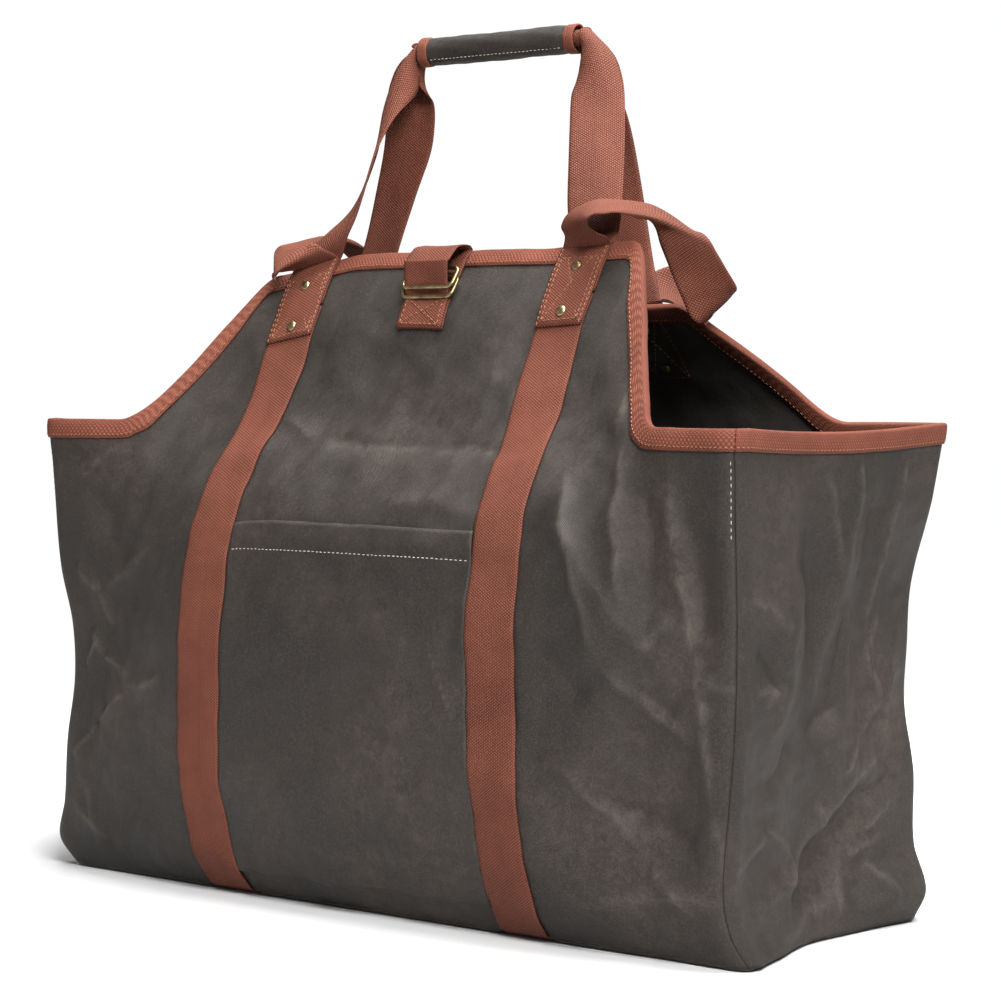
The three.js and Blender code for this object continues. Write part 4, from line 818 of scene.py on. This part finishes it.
# Ring tab and rings. A short webbing loop over the flap's edge is sewn down below with a
# crossed box. It carries two wire rings of old brass, bent to rectangles with round corners.
def brass_finish(name):
    material, shader, start = finish_of(name, 0.3, 1.0)
    place = object_place(start)
    worn = noise(start, place, 120.0, 5.0, 0.6)
    fine = noise(start, place, 900.0, 3.0, 0.6)
    color = blend(start, ramp(start, worn, 0.32, 0.7), (0.13, 0.09, 0.045, 1), (0.4, 0.31, 0.17, 1))
    wire(start, color, shader, "Base Color")
    wire(start, ramp(start, worn, 0.3, 0.7, 0.46, 0.28), shader, "Roughness")
    wire(start, bump(start, fine * 0.5 + worn, 0.25, 0.0004), shader, "Normal")
    return material


brass = brass_finish("old_brass")

tab_up = [station_on(faces[-1], 0.0, s, 0) for s in patch_shares]
tab_top = tab_up[-1][0]
tab_route = [(0.0, 0.5), (0.1, 0.9), (0.4, 1.0), (0.8, 0.6), (1.0, -0.17), (1.23, -1.4), (1.41, -2.5),
             (1.5, -3.15)]
tab_free = [(np.array([0, tab_top[1] - a * 17, tab_top[2] + b * 3]), np.array([WEB, 0, 0]))
            for a, b in tab_route]
tab_down = [station_on(faces[-1], 0.0, s, 1) for s in np.linspace(0.95, 0.9, 8)]
band("ring_tab_webbing", tab_up, tab_free, tab_down, "ring_tab", wave=0.0)
tab_sew = []
levels = np.linspace(0.905, 0.945, 10)
reach = WEB / 2 - 3
for du, share in [(-reach + 0 * levels, levels), (reach + 0 * levels, levels),
                  (np.linspace(-reach, reach, 10), 0.905 + 0 * levels),
                  (np.linspace(-reach, reach, 10), levels), (np.linspace(-reach, reach, 10), levels[::-1])]:
    point, normal, _ = face_sheet(faces[-1], du, share)
    tab_sew.append((point + normal * (GAP + 2 * WEB_T + GAP + 0.1), normal))
stitches("ring_tab_stitches", tab_sew, thread)

tilt = math.radians(36)
ring_up = np.array([0, math.sin(tilt), math.cos(tilt)])
ring_out = np.array([0, math.cos(tilt), -math.sin(tilt)])
for step, name in ((0, "outer"), (1, "inner")):
    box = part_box(f"ring_{name}")
    centre = (np.array(box[0]) + np.array(box[1])) * 500
    half_w, half_h, corner = 43.5 / 2, 16.4 / 2, 4.5
    path = []
    for quarter in range(4):
        sx, sy = (1, -1, -1, 1)[quarter], (1, 1, -1, -1)[quarter]
        for angle in np.linspace(quarter * 90, quarter * 90 + 90, 9):
            a = math.radians(angle)
            path.append((sx * (half_w - corner) + corner * math.cos(a),
                         sy * (half_h - corner) + corner * math.sin(a), math.cos(a), math.sin(a)))
    grid = []
    for x, y, cx, cy in path:
        middle = centre + np.array([x, 0, 0]) + ring_up * y
        outward = np.array([cx, 0, 0]) + ring_up * cy
        grid.append([middle + (outward * math.cos(b) + ring_out * math.sin(b)) * 1.5
                     for b in np.linspace(0, 2 * math.pi, 17)[:-1]])
    grid = np.array(grid + grid[:1])
    piece = grid_piece(f"ring_{name}_wire", grid, grid[..., :2], brass, closed=True)
    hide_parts(f"ring_{name}")


# Rivets. Solid brass rivets hold each handle patch, with a domed cap outside and a flat
# burr inside. Each is its own profile spun about the line through the cloth.
for facing, face_name in ((-1, "front"), (1, "back")):
    for side, side_name in ((-1, "left"), (1, "right")):
        for level in ("lower", "upper"):
            node = f"rivet_{face_name}_{side_name}_{level}"
            low, high = (np.array(c) * 1000 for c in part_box(node))
            target = (low + high) / 2
            shares = np.linspace(0.88, 1.9, 200)
            line, normals, _ = face_sheet(faces[facing], side * STRAP_X, shares)
            best = int(np.argmin(np.abs(line[:, 2] - target[2])))
            seat, out = line[best], normals[best]
            lift = GAP + 1.7 * smooth(shares[best], 0.93, 1.0) + 2 * (WEB_T + GAP)
            profile = [(0, -CLOTH - 2.6), (2.9, -CLOTH - 2.6), (3.4, -CLOTH - 1.9), (3.4, -CLOTH - 0.4),
                       (1.4, -CLOTH), (1.4, lift - 0.5), (3.9, lift - 0.3), (4.1, lift + 0.2),
                       (3.7, lift + 0.9), (2.9, lift + 1.5), (1.6, lift + 1.95), (0, lift + 2.1)]
            work = bmesh.new()
            line_of = [work.verts.new((r, 0, h)) for r, h in profile]
            edges = [work.edges.new(pair) for pair in zip(line_of, line_of[1:])]
            bmesh.ops.spin(work, geom=line_of + edges, axis=(0, 0, 1), angle=2 * math.pi, steps=24,
                           use_merge=True)
            bmesh.ops.remove_doubles(work, verts=work.verts, dist=0.01)
            bmesh.ops.recalc_face_normals(work, faces=work.faces)
            turn = Vector(out).to_track_quat("Z", "X").to_matrix().to_4x4()
            place = Matrix.Translation(seat * MM) @ turn @ Matrix.Scale(MM, 4)
            bmesh.ops.transform(work, matrix=place, verts=work.verts)
            mesh = bpy.data.meshes.new(node + "_metal")
            work.to_mesh(mesh)
            work.free()
            mesh.polygons.foreach_set("use_smooth", [True] * len(mesh.polygons))
            mesh.materials.append(brass)
            piece = bpy.data.objects.new(node + "_metal", mesh)
            bpy.context.collection.objects.link(piece)
            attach(piece, "root")
            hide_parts(node)


# Grip. A piece of the canvas is wrapped round the gathered webbing of both handles and sewn
# along its lower edge, with a band of binding tape over each end.
WRAP_T = 1.6


def sleeve(name, node, x0, x1, deep, tall, material, swell):
    xs = np.linspace(x0, x1, max(int((x1 - x0) / 1.5), 8))
    angles = np.linspace(0, 2 * math.pi, 49)[:-1]
    grid, flat = [], []
    for x in xs:
        share = (x - x0) / (x1 - x0)
        ends = smooth(share, 0, 0.06) * smooth(1 - share, 0, 0.06)
        puff = 1 - swell * (1 - ends) + 0.012 * math.sin(x / 6) + 0.01 * math.sin(x / 2.7 + 1)
        row = []
        for a in angles:
            lumpy = 1 + 0.02 * math.sin(3 * a + x / 17) + 0.012 * math.sin(7 * a - x / 9)
            row.append((GRIP_X + x, GRIP_Y + math.cos(a) * deep / 2 * puff * lumpy,
                        GRIP_Z + math.sin(a) * tall / 2 * puff * lumpy))
        grid.append(row)
        flat.append([(x, a * 9) for a in angles])
    piece = grid_piece(name, grid, flat, material, closed=True, thick=-WRAP_T)
    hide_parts(node)


pale_thread = thread_finish("pale_thread", (0.5, 0.45, 0.38, 1))
sleeve("grip_wrap_cloth", "grip_wrap", -GRIP_HALF, GRIP_HALF, 17.2, 20.2, canvas, 0.02)
sleeve("grip_band_left_tape", "grip_band_left", -GRIP_HALF - GRIP_BAND, -GRIP_HALF + 1, 18, 21, binding,
       0.04)
sleeve("grip_band_right_tape", "grip_band_right", GRIP_HALF - 1, GRIP_HALF + GRIP_BAND, 18, 21, binding,
       0.04)
xs = np.linspace(-GRIP_HALF + 3, GRIP_HALF - 3, 40)
seam_angle = math.radians(218)
seam = np.stack([GRIP_X + xs, GRIP_Y + math.cos(seam_angle) * 8.8 + 0 * xs,
                 GRIP_Z + math.sin(seam_angle) * 10.3 + 0 * xs], -1)
seam_normal = np.tile([0, math.cos(seam_angle), math.sin(seam_angle)], (40, 1))
stitches("grip_stitches", [(seam, seam_normal)], pale_thread, pitch=3.4, length=2.3, radius=0.3)


# Pocket. An open pocket of canvas between the straps, with a turned hem along its mouth
# that is held by one row of pale thread, and its sides caught under the straps.
def pocket_lift(along, share, more):
    puff = 0.5 * smooth(share, 0.05, 0.3) * (1 - (along / STRAP_IN) ** 2)
    puff = puff + 0.7 * np.sin(along / 29 + share * 5) * smooth(share, 0.3, 0.6)
    return GAP + 1.3 + more + np.clip(puff, 0, 2)


q = np.linspace(-STRAP_IN + 0.4, STRAP_IN - 0.4, int(2 * STRAP_IN / fine))
levels = np.linspace(0.04, 0.6, int(250 / fine))
qq, ss = np.meshgrid(q, levels)
point, normal, rub = face_sheet(faces[-1], qq, ss)
hem = smooth(ss, 0.566, 0.57)
points = point + normal * pocket_lift(qq, ss, hem * 0.8)[..., None]
pocket = grid_piece("pocket_cloth", points, np.stack([qq, point[..., 2]], -1), canvas, rub, thick=-1.2)
face_outwards(pocket, (0, -1, 0))
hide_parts("front_pocket")
inner = np.linspace(-STRAP_IN + 3, STRAP_IN - 3, 90)
mouth = np.full(90, 0.558)
spot, out, _ = face_sheet(faces[-1], inner, mouth)
pocket_rows = [(spot + out * pocket_lift(inner, mouth, 0.12)[..., None], out)]
stitches("pocket_stitches", pocket_rows, pale_thread, pitch=3.6, length=2.4, radius=0.33)


# Corner seams. Pale rows show where the tall panels and the ends are sewn together, near
# the top of each corner.
seam_rows = []
for facing, side, low in ((-1, 1, 0.83), (-1, -1, 0.86), (1, 1, 0.86), (1, -1, 0.83)):
    levels = np.linspace(low, 0.985, 60)
    spot, out, _ = face_sheet(faces[facing], side * (SPAN_END + 8.5), levels)
    seam_rows.append((spot + out * 0.02, out))
stitches("corner_stitches", seam_rows, pale_thread, pitch=4.2, length=2.5, radius=0.3)


# Stage, light and camera. White paper floor and white surroundings, a large soft key from
# the upper right, a top light, and the photograph's view.
paper, paper_shader, _ = finish_of("white_paper", 0.9, specular=0.1)
paper_shader.inputs["Base Color"].default_value = (0.56, 0.56, 0.56, 1)
floor_mesh = bpy.data.meshes.new("floor")
work = bmesh.new()
bmesh.ops.create_circle(work, cap_ends=True, segments=96, radius=1.25)
work.to_mesh(floor_mesh)
work.free()
floor = bpy.data.objects.new("floor", floor_mesh)
bpy.context.collection.objects.link(floor)
floor.location.z = -0.0006
floor_mesh.materials.append(paper)

# The surroundings look white, and light the bag at less than half of that.
world = bpy.data.worlds.new("studio")
bpy.context.scene.world = world
world.use_nodes = True
sky = Sock(world.node_tree)
seen = sky.node("ShaderNodeLightPath")
backdrop = world.node_tree.nodes["Background"]
wire(sky, seen * 0.75 + 0.27, backdrop, "Strength")
backdrop.inputs["Color"].default_value = (1, 1, 1, 1)
for name, place, size, power in (("key", (2.1, -1.5, 2.3), 1.1, 190), ("fill", (-2.2, -1.8, 1.2), 1.8, 5),
                                 ("top", (0.35, 0.25, 2.6), 1.5, 190)):
    lamp = bpy.data.lights.new(name, "AREA")
    lamp.energy = power
    lamp.size = size
    light = bpy.data.objects.new(name, lamp)
    bpy.context.collection.objects.link(light)
    light.location = place
    light.rotation_euler = (Vector((0, 0, 0.25)) - Vector(place)).to_track_quat("-Z", "Y").to_euler()
bpy.context.scene.view_settings.view_transform = "Standard"

lens = bpy.data.cameras.new("camera")
lens.sensor_width = 36
lens.lens = 96.303
camera = bpy.data.objects.new("camera", lens)
bpy.context.collection.objects.link(camera)
camera.location = (1.17392, -1.47799, 0.36704)
turn, pitch = math.radians(37.84), math.radians(2.73)
look = Vector((-math.sin(turn) * math.cos(pitch), math.cos(turn) * math.cos(pitch), -math.sin(pitch)))
camera.rotation_euler = look.to_track_quat("-Z", "Y").to_euler()
bpy.context.scene.camera = camera
